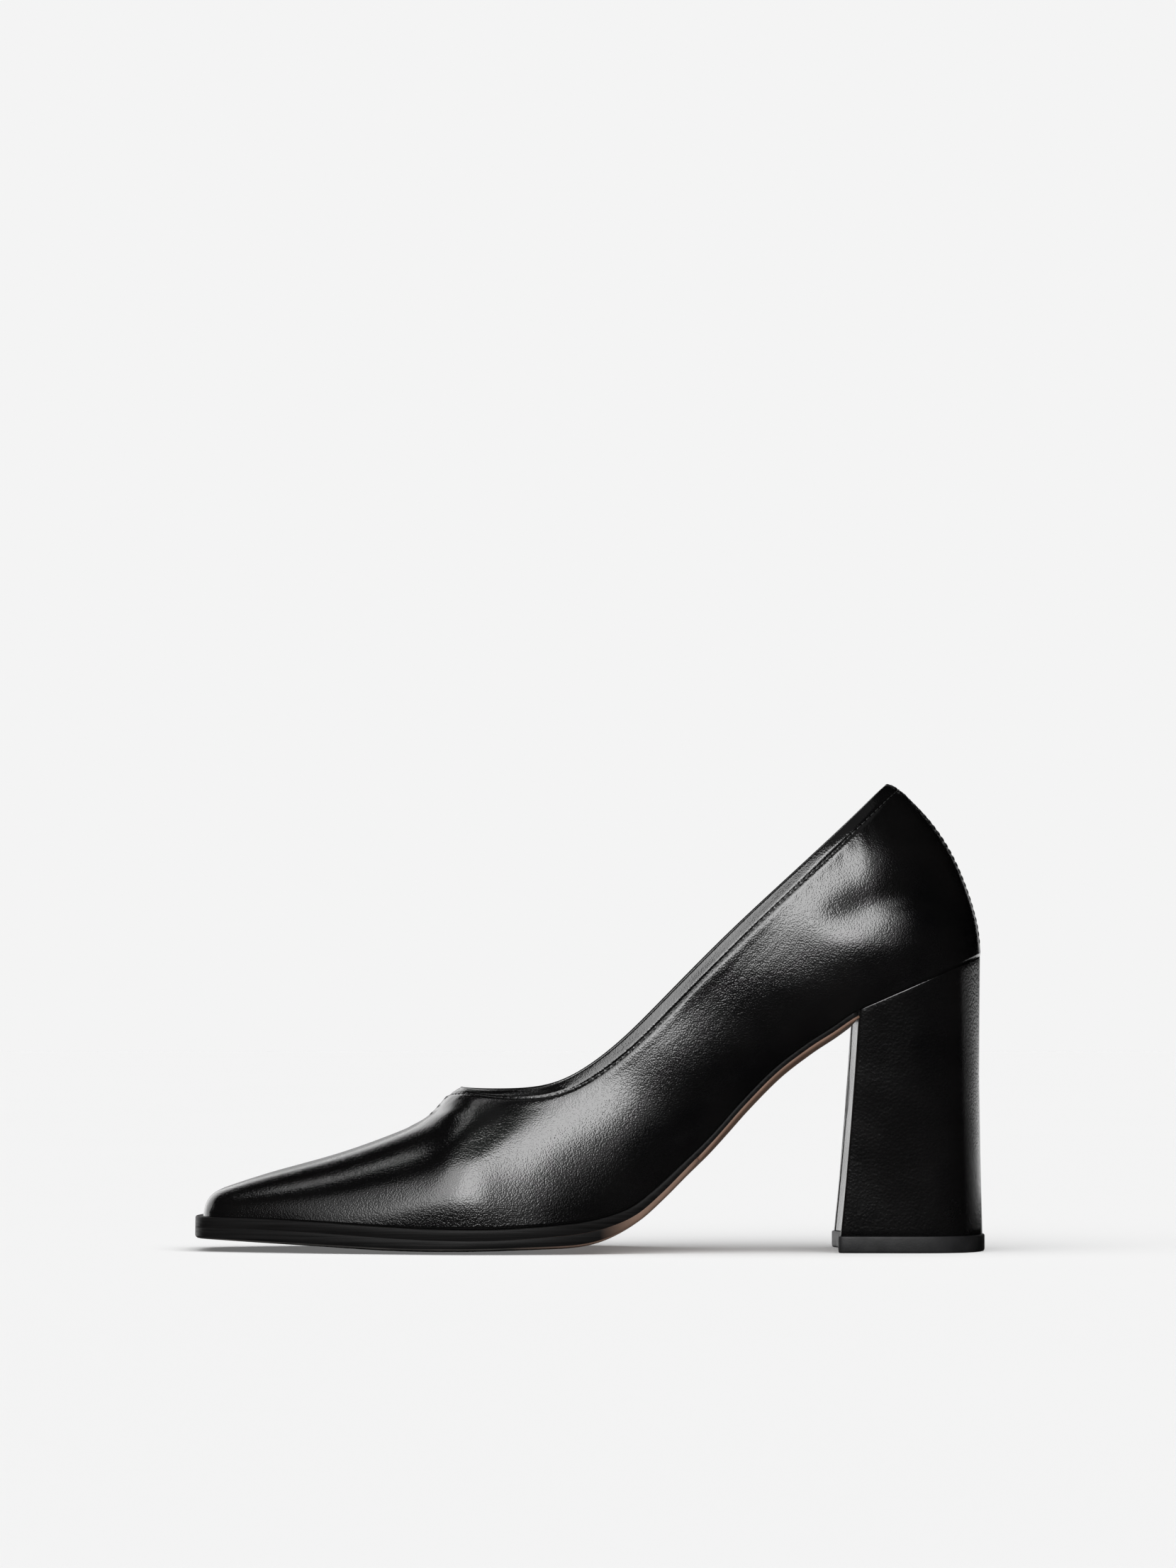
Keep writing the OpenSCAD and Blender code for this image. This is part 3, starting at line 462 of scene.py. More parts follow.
class Finish:
    """A material built from nodes around one Principled shader."""

    def __init__(self, name, **constants):
        self.material = bpy.data.materials.new(name)
        self.material.use_nodes = True
        self.tree = self.material.node_tree
        self.shader = self.tree.nodes["Principled BSDF"]
        for socket, value in constants.items():
            self.shader.inputs[socket.replace("_", " ")].default_value = value
        self.place = self.node("ShaderNodeTexCoord").outputs["Object"]

    def node(self, kind, links=(), **settings):
        made = self.tree.nodes.new(kind)
        for key, value in settings.items():
            setattr(made, key, value)
        for socket, value in dict(links).items():
            target = made.inputs[socket]
            if isinstance(value, bpy.types.NodeSocket):
                self.tree.links.new(value, target)
            else:
                target.default_value = value
        return made

    def noise(self, scale, detail=2.0, roughness=0.5, stretch=None):
        place = self.place
        if stretch:
            place = self.node("ShaderNodeMapping", {"Vector": place, "Scale": stretch}).outputs[0]
        return self.node("ShaderNodeTexNoise", {"Vector": place, "Scale": scale, "Detail": detail,
                                                "Roughness": roughness}).outputs[0]

    def cells(self, scale, place=None, feature="F1"):
        return self.node("ShaderNodeTexVoronoi", {"Vector": place or self.place, "Scale": scale},
                         feature=feature).outputs["Distance"]

    def spread(self, value, low, high, to_low=0.0, to_high=1.0):
        return self.node("ShaderNodeMapRange",
                         {0: value, 1: low, 2: high, 3: to_low, 4: to_high}).outputs[0]

    def sum(self, a, b, operation="ADD"):
        return self.node("ShaderNodeMath", {0: a, 1: b}, operation=operation).outputs[0]

    def ramp(self, value, *stops):
        made = self.node("ShaderNodeValToRGB", {0: value})
        elements = made.color_ramp.elements
        while len(elements) < len(stops):
            elements.new(0.5)
        for element, (position, colour) in zip(elements, stops):
            element.position = position
            element.color = (*colour, 1)
        return made.outputs[0]

    def attribute(self, name):
        return self.node("ShaderNodeAttribute", attribute_name=name).outputs["Fac"]

    def link(self, socket, value):
        self.tree.links.new(value, self.shader.inputs[socket])

    def bump(self, height, relief_mm):
        """Fine relief of that height in millimetres."""
        made = self.node("ShaderNodeBump", {"Height": height, "Distance": relief_mm * MM, "Strength": 1.0})
        self.link("Normal", made.outputs[0])

    def tones(self, value, dark, light, low=0.3, high=0.7):
        """Colour, from dark to light as the value goes from low to high."""
        self.link("Base Color", self.ramp(value, (low, dark), (high, light)))

    def shine(self, value, smooth, rough):
        """Roughness, from smooth to rough as the value goes from 0.3 to 0.7."""
        self.link("Roughness", self.spread(value, 0.3, 0.7, smooth, rough))

    def mix(self, share, a, b):
        return self.node("ShaderNodeMix", {0: share, 6: a, 7: b}, data_type="RGBA").outputs[2]

    def part_of(self, vector, axis):
        return self.node("ShaderNodeSeparateXYZ", {0: vector}).outputs["XYZ".index(axis)]


def calf_leather(name, cell=0.00043, relief_mm=0.045, rough=(0.09, 0.17), stitched=False):
    """Black calf with a fine pebbled grain, polished to a soft shine."""
    made = Finish(name, Specular_IOR_Level=0.5, Coat_Weight=0.25, Coat_Roughness=0.12)
    swirl = made.node("ShaderNodeTexNoise", {"Vector": made.place, "Scale": 700.0, "Detail": 1.0})
    shift = made.node("ShaderNodeVectorMath", {0: swirl.outputs["Color"], 1: (0.0006, 0.0006, 0.0006)},
                      operation="MULTIPLY")
    warp = made.node("ShaderNodeVectorMath", {0: made.place, 1: shift.outputs[0]}).outputs[0]
    pebbles = made.spread(made.cells(1 / cell, warp, "SMOOTH_F1"), 0.0, 0.9, 1.0, 0.0)
    height = made.sum(pebbles, made.sum(made.noise(3200, 2.0), 0.15, "MULTIPLY"))
    height = made.sum(height, made.sum(made.noise(160, 3.0), 0.12, "MULTIPLY"))
    if stitched:
        off_row = made.sum(made.attribute("edge_distance"), stitch_inset, "SUBTRACT")
        in_row = made.spread(made.sum(off_row, 0.0, "ABSOLUTE"), 0.0, 0.7, 1.0, 0.0)
        turn = made.sum(made.attribute("edge_run"), 2 * math.pi / stitch_pitch, "MULTIPLY")
        dimple = made.spread(made.sum(turn, 0.0, "COSINE"), 0.2, 1.0)
        height = made.sum(height, made.sum(made.sum(dimple, in_row, "MULTIPLY"), -2.0, "MULTIPLY"))
    made.bump(height, relief_mm)
    made.tones(made.noise(45, 4.0), (0.0022, 0.0022, 0.0024), (0.005, 0.0048, 0.0048), 0.3, 0.75)
    made.link("Roughness", made.sum(made.spread(made.noise(60, 4.0), 0.35, 0.7, *rough),
                                    made.spread(pebbles, 0.0, 1.0, 0.05, 0.0)))
    return made.material


def dress(piece, material, slot, *nodes):
    """Gives a made piece its material and its body, and hides the nodes that it stands for; slot is not
    used.
    """
    piece.data.materials.clear()
    piece.data.materials.append(material)
    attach(piece, "root")
    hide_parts(*nodes)


black_calf = calf_leather("black_calf", stitched=True)
dress(upper, black_calf, "black_calf", "upper_leather")


# Layers behind the leather: a woven tape in the fold, a puff in the toe, a moulded counter round
# the heel and cotton interlining between them, all bonded to the leather's back.
layer_step = 3
layer_columns = list(range(0, columns, layer_step))
top_row = body_rows - 1
layer_rows = [0, 1, 7, 15, 23, 31, 39, 47, 53, 59, 64, 67, 70, 73, top_row]
stiff_depth = leather_t + stiffener_t
lined_depth = stiff_depth + lining_t
puff_to, counter_from, tape_from, tape_v, counter_v = 3.5, 14.0, throat + 1.0, 0.9, 0.7
under_fold = 0.985


def is_tape(u, v):
    return u >= tape_from and v >= tape_v


def is_counter(u, v):
    return u >= counter_from and v < counter_v


def is_puff(u, _):
    return u < puff_to


def is_between(u, v):
    return not (is_tape(u, v) or is_puff(u, v) or is_counter(u, v)) and (u < throat - 1 or v < 0.93)


def bonded_layer(name, keep, outer, inner, picked_columns, picked_rows):
    """A sheet of the upper between two depths."""
    quads = sheet_quads(picked_columns, picked_rows, keep)
    points = np.concatenate([body_points + outer * body_sink, body_points + inner * body_sink])
    return add_piece(name, points, closed_layer(quads, len(body_points)))[0]


def woven_backing(name, thread, gap, scale=2400.0):
    """Plain-woven cloth: two crossed sets of threads."""
    made = Finish(name, Roughness=0.85, Specular_IOR_Level=0.25, Sheen_Weight=0.2)
    settings = {"Vector": made.place, "Scale": scale / 6, "Distortion": 0.4}
    warp, weft = (made.node("ShaderNodeTexWave", settings, bands_direction=way).outputs["Fac"]
                  for way in "XZ")
    weave = made.sum(warp, weft, "MULTIPLY")
    made.bump(weave, 0.06)
    made.tones(weave, gap, thread, 0.0)
    return made.material


cloth = woven_backing("backing", (0.62, 0.59, 0.53), (0.42, 0.39, 0.34))
stiffener = woven_backing("stiffener", (0.50, 0.43, 0.32), (0.36, 0.30, 0.22), 1500.0)
fold_rows = [row for row in layer_rows if body_v[row] < under_fold]
for name, keep, rows, finish, slot, node in (
        ("woven_tape", is_tape, fold_rows, cloth, "backing", "topline_tape"),
        ("toe_stiffener", is_puff, layer_rows, stiffener, "stiffener", "toe_puff"),
        ("moulded_counter", is_counter, layer_rows, stiffener, "stiffener", "heel_counter"),
        ("cotton_interlining", is_between, layer_rows, cloth, "backing", "interlining")):
    dress(bonded_layer(name, keep, leather_t, stiff_depth, layer_columns, rows), finish, slot, node)


# Linings: black pigskin in two pieces that meet at a seam beside the ball, glued in up to the
# folded edge, with a suede grip stuck over them at the back of the heel.
def lining_leather(name, dark, light):
    """Matt lining leather with open pores."""
    made = Finish(name, Roughness=0.62, Specular_IOR_Level=0.35)
    pores = made.cells(900.0)
    made.bump(made.sum(made.spread(pores, 0.05, 0.4), made.noise(500, 3.0)), 0.03)
    made.tones(made.noise(90, 4.0), dark, light)
    return made.material


lining_columns = list(range(0, columns, 2))
lining_rows = [0, 1, 6, 11, 17, 23, 29, 35, 41, 47, 53, 59, 63, 66, 69, 72, 74, top_row]
lining_seam = 10.5
lining = lining_leather("lining_leather", (0.010, 0.009, 0.009), (0.018, 0.016, 0.015))
for name, keep, node in (("lining_front", lambda u, v: u < lining_seam, "vamp_lining"),
                         ("lining_back", lambda u, v: u >= lining_seam, "quarter_lining")):
    dress(bonded_layer(name, keep, stiff_depth + 0.03, lined_depth, lining_columns, lining_rows),
          lining, "lining_leather", node)


def grained(name, relief, dark, light, span=(0.3, 0.7), tone=None, shine=None, **constants):
    """A plain material: relief is a noise's scale, detail and roughness and a height in millimetres,
    tone the noise of its colour if that is another, and shine a noise and the two roughnesses."""
    made = Finish(name, **constants)
    grain = made.noise(*relief[:3])
    made.bump(grain, relief[3])
    made.tones(made.noise(*tone) if tone else grain, dark, light, *span)
    if shine:
        made.shine(made.noise(*shine[:2]), *shine[2:])
    return made.material


grip_suede = grained("grip_suede", (2600, 4.0, 0.7, 0.08), (0.017, 0.015, 0.014), (0.034, 0.030, 0.028),
                     tone=(140, 5.0), Roughness=0.95, Specular_IOR_Level=0.2, Sheen_Weight=0.5)
grip = bonded_layer("suede_grip", lambda u, v: u >= 17 and 0.55 < v < 0.93, lined_depth + 0.02,
                    lined_depth + grip_t, lining_columns, lining_rows)
dress(grip, grip_suede, "grip_suede", "heel_grip")


# Insole: a fibre board with a spring-steel shank riveted under its waist, cork and felt filling
# the hollows inside the turned margin. These parts keep their modelled shapes.
def fibre_board(name, low, high, grain=700.0):
    return grained(name, (grain, 4.0, 0.7, 0.1), low, high, (0.35, 0.65),
                   Roughness=0.85, Specular_IOR_Level=0.3)


def worked_metal(name, low, high, roughness):
    made = Finish(name, Metallic=1.0)
    scratches = made.noise(900, 3.0, stretch=(0.15, 1.0, 1.0))
    made.bump(scratches, 0.01)
    made.tones(scratches, low, high)
    made.shine(scratches, roughness - 0.06, roughness + 0.08)
    return made.material


def keep_node(name, material):
    """A modelled part that keeps its shape and gets a finer material."""
    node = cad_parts[name]
    node.data.materials.clear()
    node.data.materials.append(material)


steel = worked_metal("steel", (0.32, 0.33, 0.34), (0.50, 0.51, 0.53), 0.32)
keep_node("insole_board", fibre_board("board", (0.26, 0.15, 0.07), (0.42, 0.27, 0.14)))
keep_node("shank", steel)
keep_node("shank_rivets", worked_metal("brass", (0.55, 0.38, 0.14), (0.75, 0.56, 0.26), 0.3))
keep_node("forepart_filler", fibre_board("cork", (0.20, 0.11, 0.05), (0.46, 0.29, 0.14), 420.0))
keep_node("waist_filler", fibre_board("felt", (0.20, 0.20, 0.21), (0.33, 0.33, 0.34), 1500.0))


# Plates that follow the sole line: each has rings given from its top edge to its bottom edge as
# [inset, height] along the shoe, and a bottom that deepens towards its middle.
board_t, foam_t, sock_t = 2.0, 2.0, 0.8


def plate(name, stations, rings, crown=None):
    """A closed plate; both ends of a ring's cross line lie at one station."""
    stations = np.asarray(stations, float)
    m, cross = len(stations), 16
    x = feather(stations)[:, 0]
    share = np.linspace(0, 1, cross + 1)[:, None, None]
    level = [[np.broadcast_to(np.asarray(value, float), x.shape) for value in ring(x)] for ring in rings]
    ends = [[np.column_stack([inset(u, a), h]) for u in (stations, loop_n - stations)] for a, h in level]

    def laid(flat, fall=0.0):
        at = flat.reshape(-1, 3)
        found = on_sole(at[:, 0], at[:, 1], at[:, 2] - np.reshape(fall, -1))
        found[:, 2] = np.maximum(found[:, 2], 0)
        return found.reshape(flat.shape)

    def spanned(ring, fall=None):
        flat = ring[0][None] * (1 - share) + ring[1][None] * share
        return laid(flat, fall(flat[..., 0]) * 4 * share[..., 0] * (1 - share[..., 0]) if fall else 0.0)

    top_face, low_face = spanned(ends[0]), spanned(ends[-1], crown)
    near_side, far_side = ([laid(ring[k]) for ring in ends[1:-1]] for k in (0, 1))
    around = list(top_face) + far_side + list(low_face[::-1]) + near_side[::-1]
    rings_n, side_n = len(around), len(near_side)
    index = np.arange(rings_n * m).reshape(rings_n, m)
    faces = []
    for k in range(rings_n):
        following = index[(k + 1) % rings_n]
        for i in range(m - 1):
            faces.append([index[k, i], index[k, i + 1], following[i + 1], following[i]])
    for i in (0, m - 1):
        upper_ids = index[:cross + 1, i]
        lower_ids = index[cross + 1 + side_n:2 * cross + 2 + side_n, i][::-1]
        cap = [[upper_ids[k], upper_ids[k + 1], lower_ids[k + 1], lower_ids[k]] for k in range(cross)]
        if side_n:
            right = index[cross + 1:cross + 1 + side_n, i]
            left = index[rings_n - side_n:, i]
            cap += [[upper_ids[-1], *right, lower_ids[-1]], [lower_ids[0], *left, upper_ids[0]]]
        faces += [face[::-1] for face in cap] if i else cap
    return add_piece(name, np.array(around).reshape(-1, 3), faces)[0]


def evened(start, stop, step=0.1):
    return np.linspace(start, stop, int(round((stop - start) / step)) + 1)


toe_run = np.concatenate([[0.02, 0.05, 0.1, 0.17], evened(0.25, 3, 0.08)])
taper = [[-118, 0.45], [-104, 0.6], [-90, 1], [0, 1]]
sock_edge = [[-118, 14], [-104, 12], [-92, 8], [-70, 5.4], [-40, 4.2], [119, 3.6]]


# Sock: foam rubber under a full-length sock of lining leather, glued over the insole board. The foam
# is a little higher in its middle than at its skived edges.
def sock_ring(extra, depth):
    return lambda x: (read_table(sock_edge, x) + extra, lined_depth + depth * read_table(taper, x))


def foam_rubber(name):
    made = Finish(name, Roughness=0.9, Specular_IOR_Level=0.2)
    bubbles = made.cells(2200.0)
    made.bump(bubbles, 0.12)
    made.tones(bubbles, (0.62, 0.54, 0.38), (0.80, 0.72, 0.54), 0.1, 0.6)
    return made.material


whole_shoe = np.concatenate([toe_run, evened(3.1, 18.8, 0.12), [18.9]])
foam = plate("foam_pad", whole_shoe, [
    sock_ring(0.5, board_t + foam_t), sock_ring(0.1, board_t + foam_t - 0.3),
    sock_ring(-0.2, board_t + 0.05)])
dress(foam, foam_rubber("foam"), "foam", "sock_foam")
sock = plate("sock", whole_shoe, [
    sock_ring(0.5, board_t + foam_t + sock_t), sock_ring(0.15, board_t + foam_t + sock_t - 0.25),
    sock_ring(0.05, board_t + foam_t + 0.02)])
dress(sock, lining_leather("sock_leather", (0.012, 0.011, 0.010), (0.022, 0.019, 0.018)),
      "sock_leather", "sock_lining")


# Sole: a black runner the length of the sole, a treaded forepart under it and a thin waist piece of
# undyed leather that runs up under the heel. The forepart's edge is painted black and brushed.
mid_t, mid_waist_t, tread_t = 3.2, 1.5, 6.0
runner_table = [[-119, mid_t], [0, mid_t], [13, 2.6], [22, 2.1], [31, 1.7], [38, mid_waist_t],
                [119, mid_waist_t]]
edge_table = [
    [-119, tread_t + 0.4], [-100, tread_t + 1], [-80, tread_t + 0.9], [-60, tread_t + 0.6],
    [-40, tread_t + 0.1],
    [-25, tread_t], [-8, tread_t + 0.6], [0, tread_t + 0.6], [6, 5.8], [13, 4.4], [22, 3.5], [31, 2.9],
    [38, mid_waist_t + 0.9], [119, mid_waist_t + 0.9]]
crown_table = [[-119, 0.2], [-100, 0.8], [-60, 1.5], [-10, 1.5], [10, 1], [25, 1], [38, 1.6], [76, 1.5],
               [79, 0.6], [80, 0], [119, 0]]
ledge_table = [[-119, 2.4], [-100, 2.2], [-60, 1.8], [-10, 1.6], [12, 0.8], [30, 0], [80, -0.1]]
tongue_inset = 12.3


def ledge(x):
    return np.where(x > breast_x - 0.2, tongue_inset, -read_table(ledge_table, x))


def sole_crown(x):
    return read_table(crown_table, x)


def edge_ring(extra, level, share):
    """A ring of the sole's edge: share is 0 at the runner's top and 1 at its bottom."""
    return lambda x: (ledge(x) + extra, level - share * read_table(runner_table, x))


def brushed_edge(name, bare_from):
    """Black edge paint brushed along the sole. The underside is unpainted leather that turns from grey near
    the toe, a painted reflection of the pale floor, to a greyed brown towards the waist, and so is the whole
    side behind bare_from."""
    made = Finish(name, Specular_IOR_Level=0.12)
    lines = made.noise(900, 3.0, 0.6, stretch=(0.035, 0.035, 1.6))
    made.bump(made.sum(lines, made.sum(made.noise(2600, 2.0), 0.25, "MULTIPLY")), 0.10)
    down = made.part_of(made.node("ShaderNodeNewGeometry").outputs["Normal"], "Z")
    behind = made.part_of(made.place, "X")
    paint = made.ramp(lines, (0.3, (0.003, 0.003, 0.003)), (0.75, (0.010, 0.0095, 0.0095)))
    # Grey of the unpainted underside near the toe: painted reflection of the pale floor.
    toe_grey_reflection = made.ramp(made.noise(120, 4.0), (0.3, (0.045, 0.043, 0.041)), (0.7, (0.070, 0.066, 0.062)))
    brown = made.ramp(made.noise(70, 5.0, 0.6), (0.3, (0.165, 0.105, 0.078)), (0.7, (0.225, 0.145, 0.108)))
    bare = made.sum(made.spread(down, -0.45, -0.75),
                    made.spread(behind, bare_from, bare_from + 0.012), "MAXIMUM")
    below = made.mix(made.spread(behind, -0.025, -0.002), toe_grey_reflection, brown)
    made.link("Base Color", made.mix(bare, paint, below))
    made.shine(lines, 0.38, 0.5)
    return made.material


runner_run = np.concatenate([toe_run, evened(3.08, 14.98, 0.08)])
black_edge = brushed_edge("black_edge", 1.0)
bare_edge = brushed_edge("forepart_edge", 0.003)
midsole = plate("runner", runner_run, [
    edge_ring(0.5, 0, 0), edge_ring(0.15, -0.07, 0), edge_ring(0.0, -0.35, 0),
    edge_ring(0.0, 0.04, 1), edge_ring(0.03, 0.0, 1)])
dress(midsole, black_edge, "black_edge", "midsole")
joint_station = 12.5
fore_run = np.concatenate([toe_run, evened(3.08, joint_station, 0.08)])
bevel = 0.9


def bevel_ring(turn):
    """A ring of the forepart's rounded lower edge, turned from 0, upright, to 1, flat."""
    def ring(x):
        runner, whole = read_table(runner_table, x), read_table(edge_table, x)
        up = np.minimum(bevel, whole - runner - 0.3)
        angle = turn * math.pi / 2
        return ledge(x) + bevel * (1 - math.cos(angle)), -whole + up * (1 - math.sin(angle))
    return ring


outsole = plate("sole_forepart", fore_run, [
    edge_ring(0.03, -0.01, 1), edge_ring(0.0, -0.05, 1),
    *(bevel_ring(turn) for turn in (0, 0.25, 0.5, 0.75, 1))], sole_crown)
dress(outsole, bare_edge, "black_edge", "outsole_forepart")


# The waist's leather is a greyed brown, with fine pores and light scuffs.
waist_leather = grained("taupe_leather", (1500, 4.0, 0.65, 0.03), (0.165, 0.095, 0.066),
                        (0.235, 0.140, 0.098), tone=(70, 5.0, 0.6), shine=(300, 3.0, 0.38, 0.55),
                        Specular_IOR_Level=0.4)


def waist_ring(extra, level, share):
    def ring(x):
        runner, whole = read_table(runner_table, x), read_table(edge_table, x)
        side = ledge(x) + np.where(x > breast_x - 0.2, 2, 0.1)
        return side + extra, -(runner + (whole - runner) * share) + level
    return ring


waist = plate("sole_waist", evened(joint_station + 0.003, 14.98, 0.06), [
    waist_ring(0.1, -0.02, 0), waist_ring(0.0, 0, 0.3), waist_ring(0.1, 0, 0.75),
    waist_ring(0.45, 0, 1)], sole_crown)
dress(waist, waist_leather, "taupe_leather", "outsole_waist")


# Heel: a moulded block under a leather cover that is drawn round its back and sides and turned
# round its front corners, where it meets a second piece on the breast.
HEEL_FOOT = np.array([[74.4, -24.6], [93, -25.4], [109, -23.6], [117, -13], [118.8, 0]])
heel_foot = list(HEEL_FOOT) + [row * [1, -1] for row in HEEL_FOOT[-2::-1]]
heel_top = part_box("top_piece")[1][2] / MM
breast_hollow = 3.3
cover_t = 0.9
side_points, breast_points = 168, 70
heel_ring_n = side_points + breast_points
corner_rounds = 5
waisting = 0.5


def heel_ring(s, shrink):
    """Plan of the heel at height share s, 0 at the top piece and 1 at the seat."""
    t = np.linspace(0, 8, side_points + 1)
    side = feather(breast_station + t) * s + curve(heel_foot, t, False) * (1 - s)
    b = (np.arange(1, breast_points) / breast_points)[:, None]
    hollow = np.concatenate([breast_hollow * 4 * b * (1 - b), 0 * b], axis=1)
    front = side[-1] * (1 - b) + side[0] * b + hollow
    ring = np.concatenate([side, front])
    for _ in range(corner_rounds):
        ring = (np.roll(ring, 1, axis=0) + 2 * ring + np.roll(ring, -1, axis=0)) / 4
    tangent = unit(np.roll(ring, -1, axis=0) - np.roll(ring, 1, axis=0))
    inner = np.stack([-tangent[:, 1], tangent[:, 0]], axis=-1)
    return ring + inner * (shrink + waisting * math.sin(math.pi * s))


def heel_level(s, shrink):
    ring, seat = heel_ring(s, shrink), heel_ring(1, shrink)
    height = heel_top + (sole_z(seat[:, 0]) - heel_top) * s
    return np.column_stack([ring, height])


def heel_skin(name, picked, levels, outer, thickness):
    """A leather skin over part of the heel's ring, rounded at its upper and lower edges."""
    picked = np.array(picked) % heel_ring_n
    rows = [heel_level(s, outer + tuck)[picked] for s, tuck in levels]
    rows += [heel_level(s, outer + thickness)[picked] for s, _ in levels]
    n, m = len(levels), len(picked)
    points = np.concatenate(rows)
    index = np.arange(2 * n * m).reshape(2, n, m)
    quads = [[index[0, k, i], index[0, k, i + 1], index[0, k + 1, i + 1], index[0, k + 1, i]]
             for k in range(n - 1) for i in range(m - 1)]
    return add_piece(name, points, closed_layer(quads, n * m))[0]


def shaped_levels(high):
    body = np.linspace(0.004, high - 0.006, 46)
    return [(0.0, 0.25), (0.0015, 0.06)] + [(s, 0.0) for s in body] + [(high - 0.002, 0.06), (high, 0.3)]


turn_in = round(breast_points * 0.06)
heel_leather = calf_leather("heel_leather", cell=0.00075, relief_mm=0.06, rough=(0.16, 0.26))
cover = heel_skin("covered_heel", range(-turn_in, side_points + turn_in + 1), shaped_levels(1.0),
                  0.05, cover_t)
dress(cover, heel_leather, "heel_leather", "heel_cover")
breast = heel_skin("covered_breast", range(side_points + turn_in, heel_ring_n - turn_in + 1),
                   shaped_levels(0.955), 0.12, cover_t)
dress(breast, heel_leather, "heel_leather", "breast_cover")
keep_node("heel_block", grained(
    "heel_plastic", (1800, 2.0, 0.5, 0.02), (0.022, 0.022, 0.024), (0.0297, 0.0297, 0.0324),
    tone=(50, 3.0), shine=(200, 3.0, 0.4, 0.55), Specular_IOR_Level=0.5))
keep_node("heel_screw", steel)
keep_node("heel_nails", steel)
keep_node("top_piece_pins", steel)


# Top piece: the moulded wear piece pinned under the heel, a little proud of the leather all round.
lip = 0.6


def rubber(name):
    made = Finish(name, Specular_IOR_Level=0.4)
    made.bump(made.sum(made.noise(1500, 3.0), made.noise(420, 2.0)), 0.04)
    made.tones(made.noise(160, 3.0), (0.011, 0.011, 0.0115), (0.019, 0.019, 0.020))
    made.shine(made.noise(250, 3.0), 0.42, 0.58)
    return made.material


top_profile = [(0.7, 0.0), (0.25, 0.12), (0.05, 0.4), (0.0, 0.8), (0.0, heel_top - 0.45),
               (0.08, heel_top - 0.15), (0.35, heel_top)]
rings = [np.column_stack([heel_ring(0, tuck - lip), np.full(heel_ring_n, level)])
         for tuck, level in top_profile]
centre = rings[0].mean(axis=0)
tread_points = np.concatenate(rings + [[centre * [1, 1, 0]], [centre * [1, 1, 0] + [0, 0, heel_top]]])
index = np.arange(len(rings) * heel_ring_n).reshape(len(rings), heel_ring_n)
tread_faces = []
for i in range(heel_ring_n):
    j = (i + 1) % heel_ring_n
    for k in range(len(rings) - 1):
        tread_faces.append([index[k, i], index[k, j], index[k + 1, j], index[k + 1, i]])
    tread_faces.append([index[0, j], index[0, i], len(tread_points) - 2])
    tread_faces.append([index[-1, i], index[-1, j], len(tread_points) - 1])
top_piece = add_piece("wear_piece", tread_points, tread_faces)[0]
dress(top_piece, rubber("top_piece_rubber"), "top_piece_rubber", "top_piece")


# Stitching: waxed thread sunk in its grooves. A small tree of nodes lays one stitch at each step
# along a path on the skin.
thread_d = 0.38
thread_lift = 0.04


def stitch_tree():
    """Nodes that lay a thin oval at each step along a path, and the names of their inputs."""
    tree = bpy.data.node_groups.new("stitching", "GeometryNodeTree")
    tree.interface.new_socket("Geometry", in_out="OUTPUT", socket_type="NodeSocketGeometry")
    sockets = {}
    for label, kind in (("Path", "Geometry"), ("Pitch", "Float"), ("Length", "Float"),
                        ("Thickness", "Float"), ("Thread", "Material")):
        made = tree.interface.new_socket(label, in_out="INPUT", socket_type="NodeSocket" + kind)
        sockets[label] = made.identifier
    given, out, curve, steps, lay, ball, oval, size, tangent, align, real, smooth, finish = (
        tree.nodes.new(kind) for kind in (
            "NodeGroupInput", "NodeGroupOutput", "GeometryNodeMeshToCurve", "GeometryNodeResampleCurve",
            "GeometryNodeInstanceOnPoints", "GeometryNodeMeshUVSphere", "GeometryNodeTransform",
            "ShaderNodeCombineXYZ", "GeometryNodeInputTangent", "FunctionNodeAlignRotationToVector",
            "GeometryNodeRealizeInstances", "GeometryNodeSetShadeSmooth", "GeometryNodeSetMaterial"))
    steps.mode = "LENGTH"
    align.axis = "Z"
    for label, value in (("Segments", 10), ("Rings", 8), ("Radius", 0.5)):
        ball.inputs[label].default_value = value
    for source, output, target, socket in (
            (given, "Path", curve, 0), (curve, 0, steps, "Curve"), (given, "Pitch", steps, "Length"),
            (steps, 0, lay, "Points"), (given, "Thickness", size, 0), (given, "Thickness", size, 1),
            (given, "Length", size, 2), (ball, "Mesh", oval, "Geometry"), (size, 0, oval, "Scale"),
            (oval, 0, lay, "Instance"), (tangent, 0, align, "Vector"), (align, 0, lay, "Rotation"),
            (lay, 0, real, 0), (real, 0, smooth, 0), (smooth, 0, finish, "Geometry"),
            (given, "Thread", finish, "Material"), (finish, 0, out, 0)):
        tree.links.new(source.outputs[output], target.inputs[socket])
    return tree, sockets


stitching, stitching_inputs = stitch_tree()
thread = grained("thread", (2400, 2.0, 0.5, 0.05), (0.014, 0.014, 0.014), (0.030, 0.030, 0.030),
                 shine=(900, 2.0, 0.3, 0.45), Specular_IOR_Level=0.5)


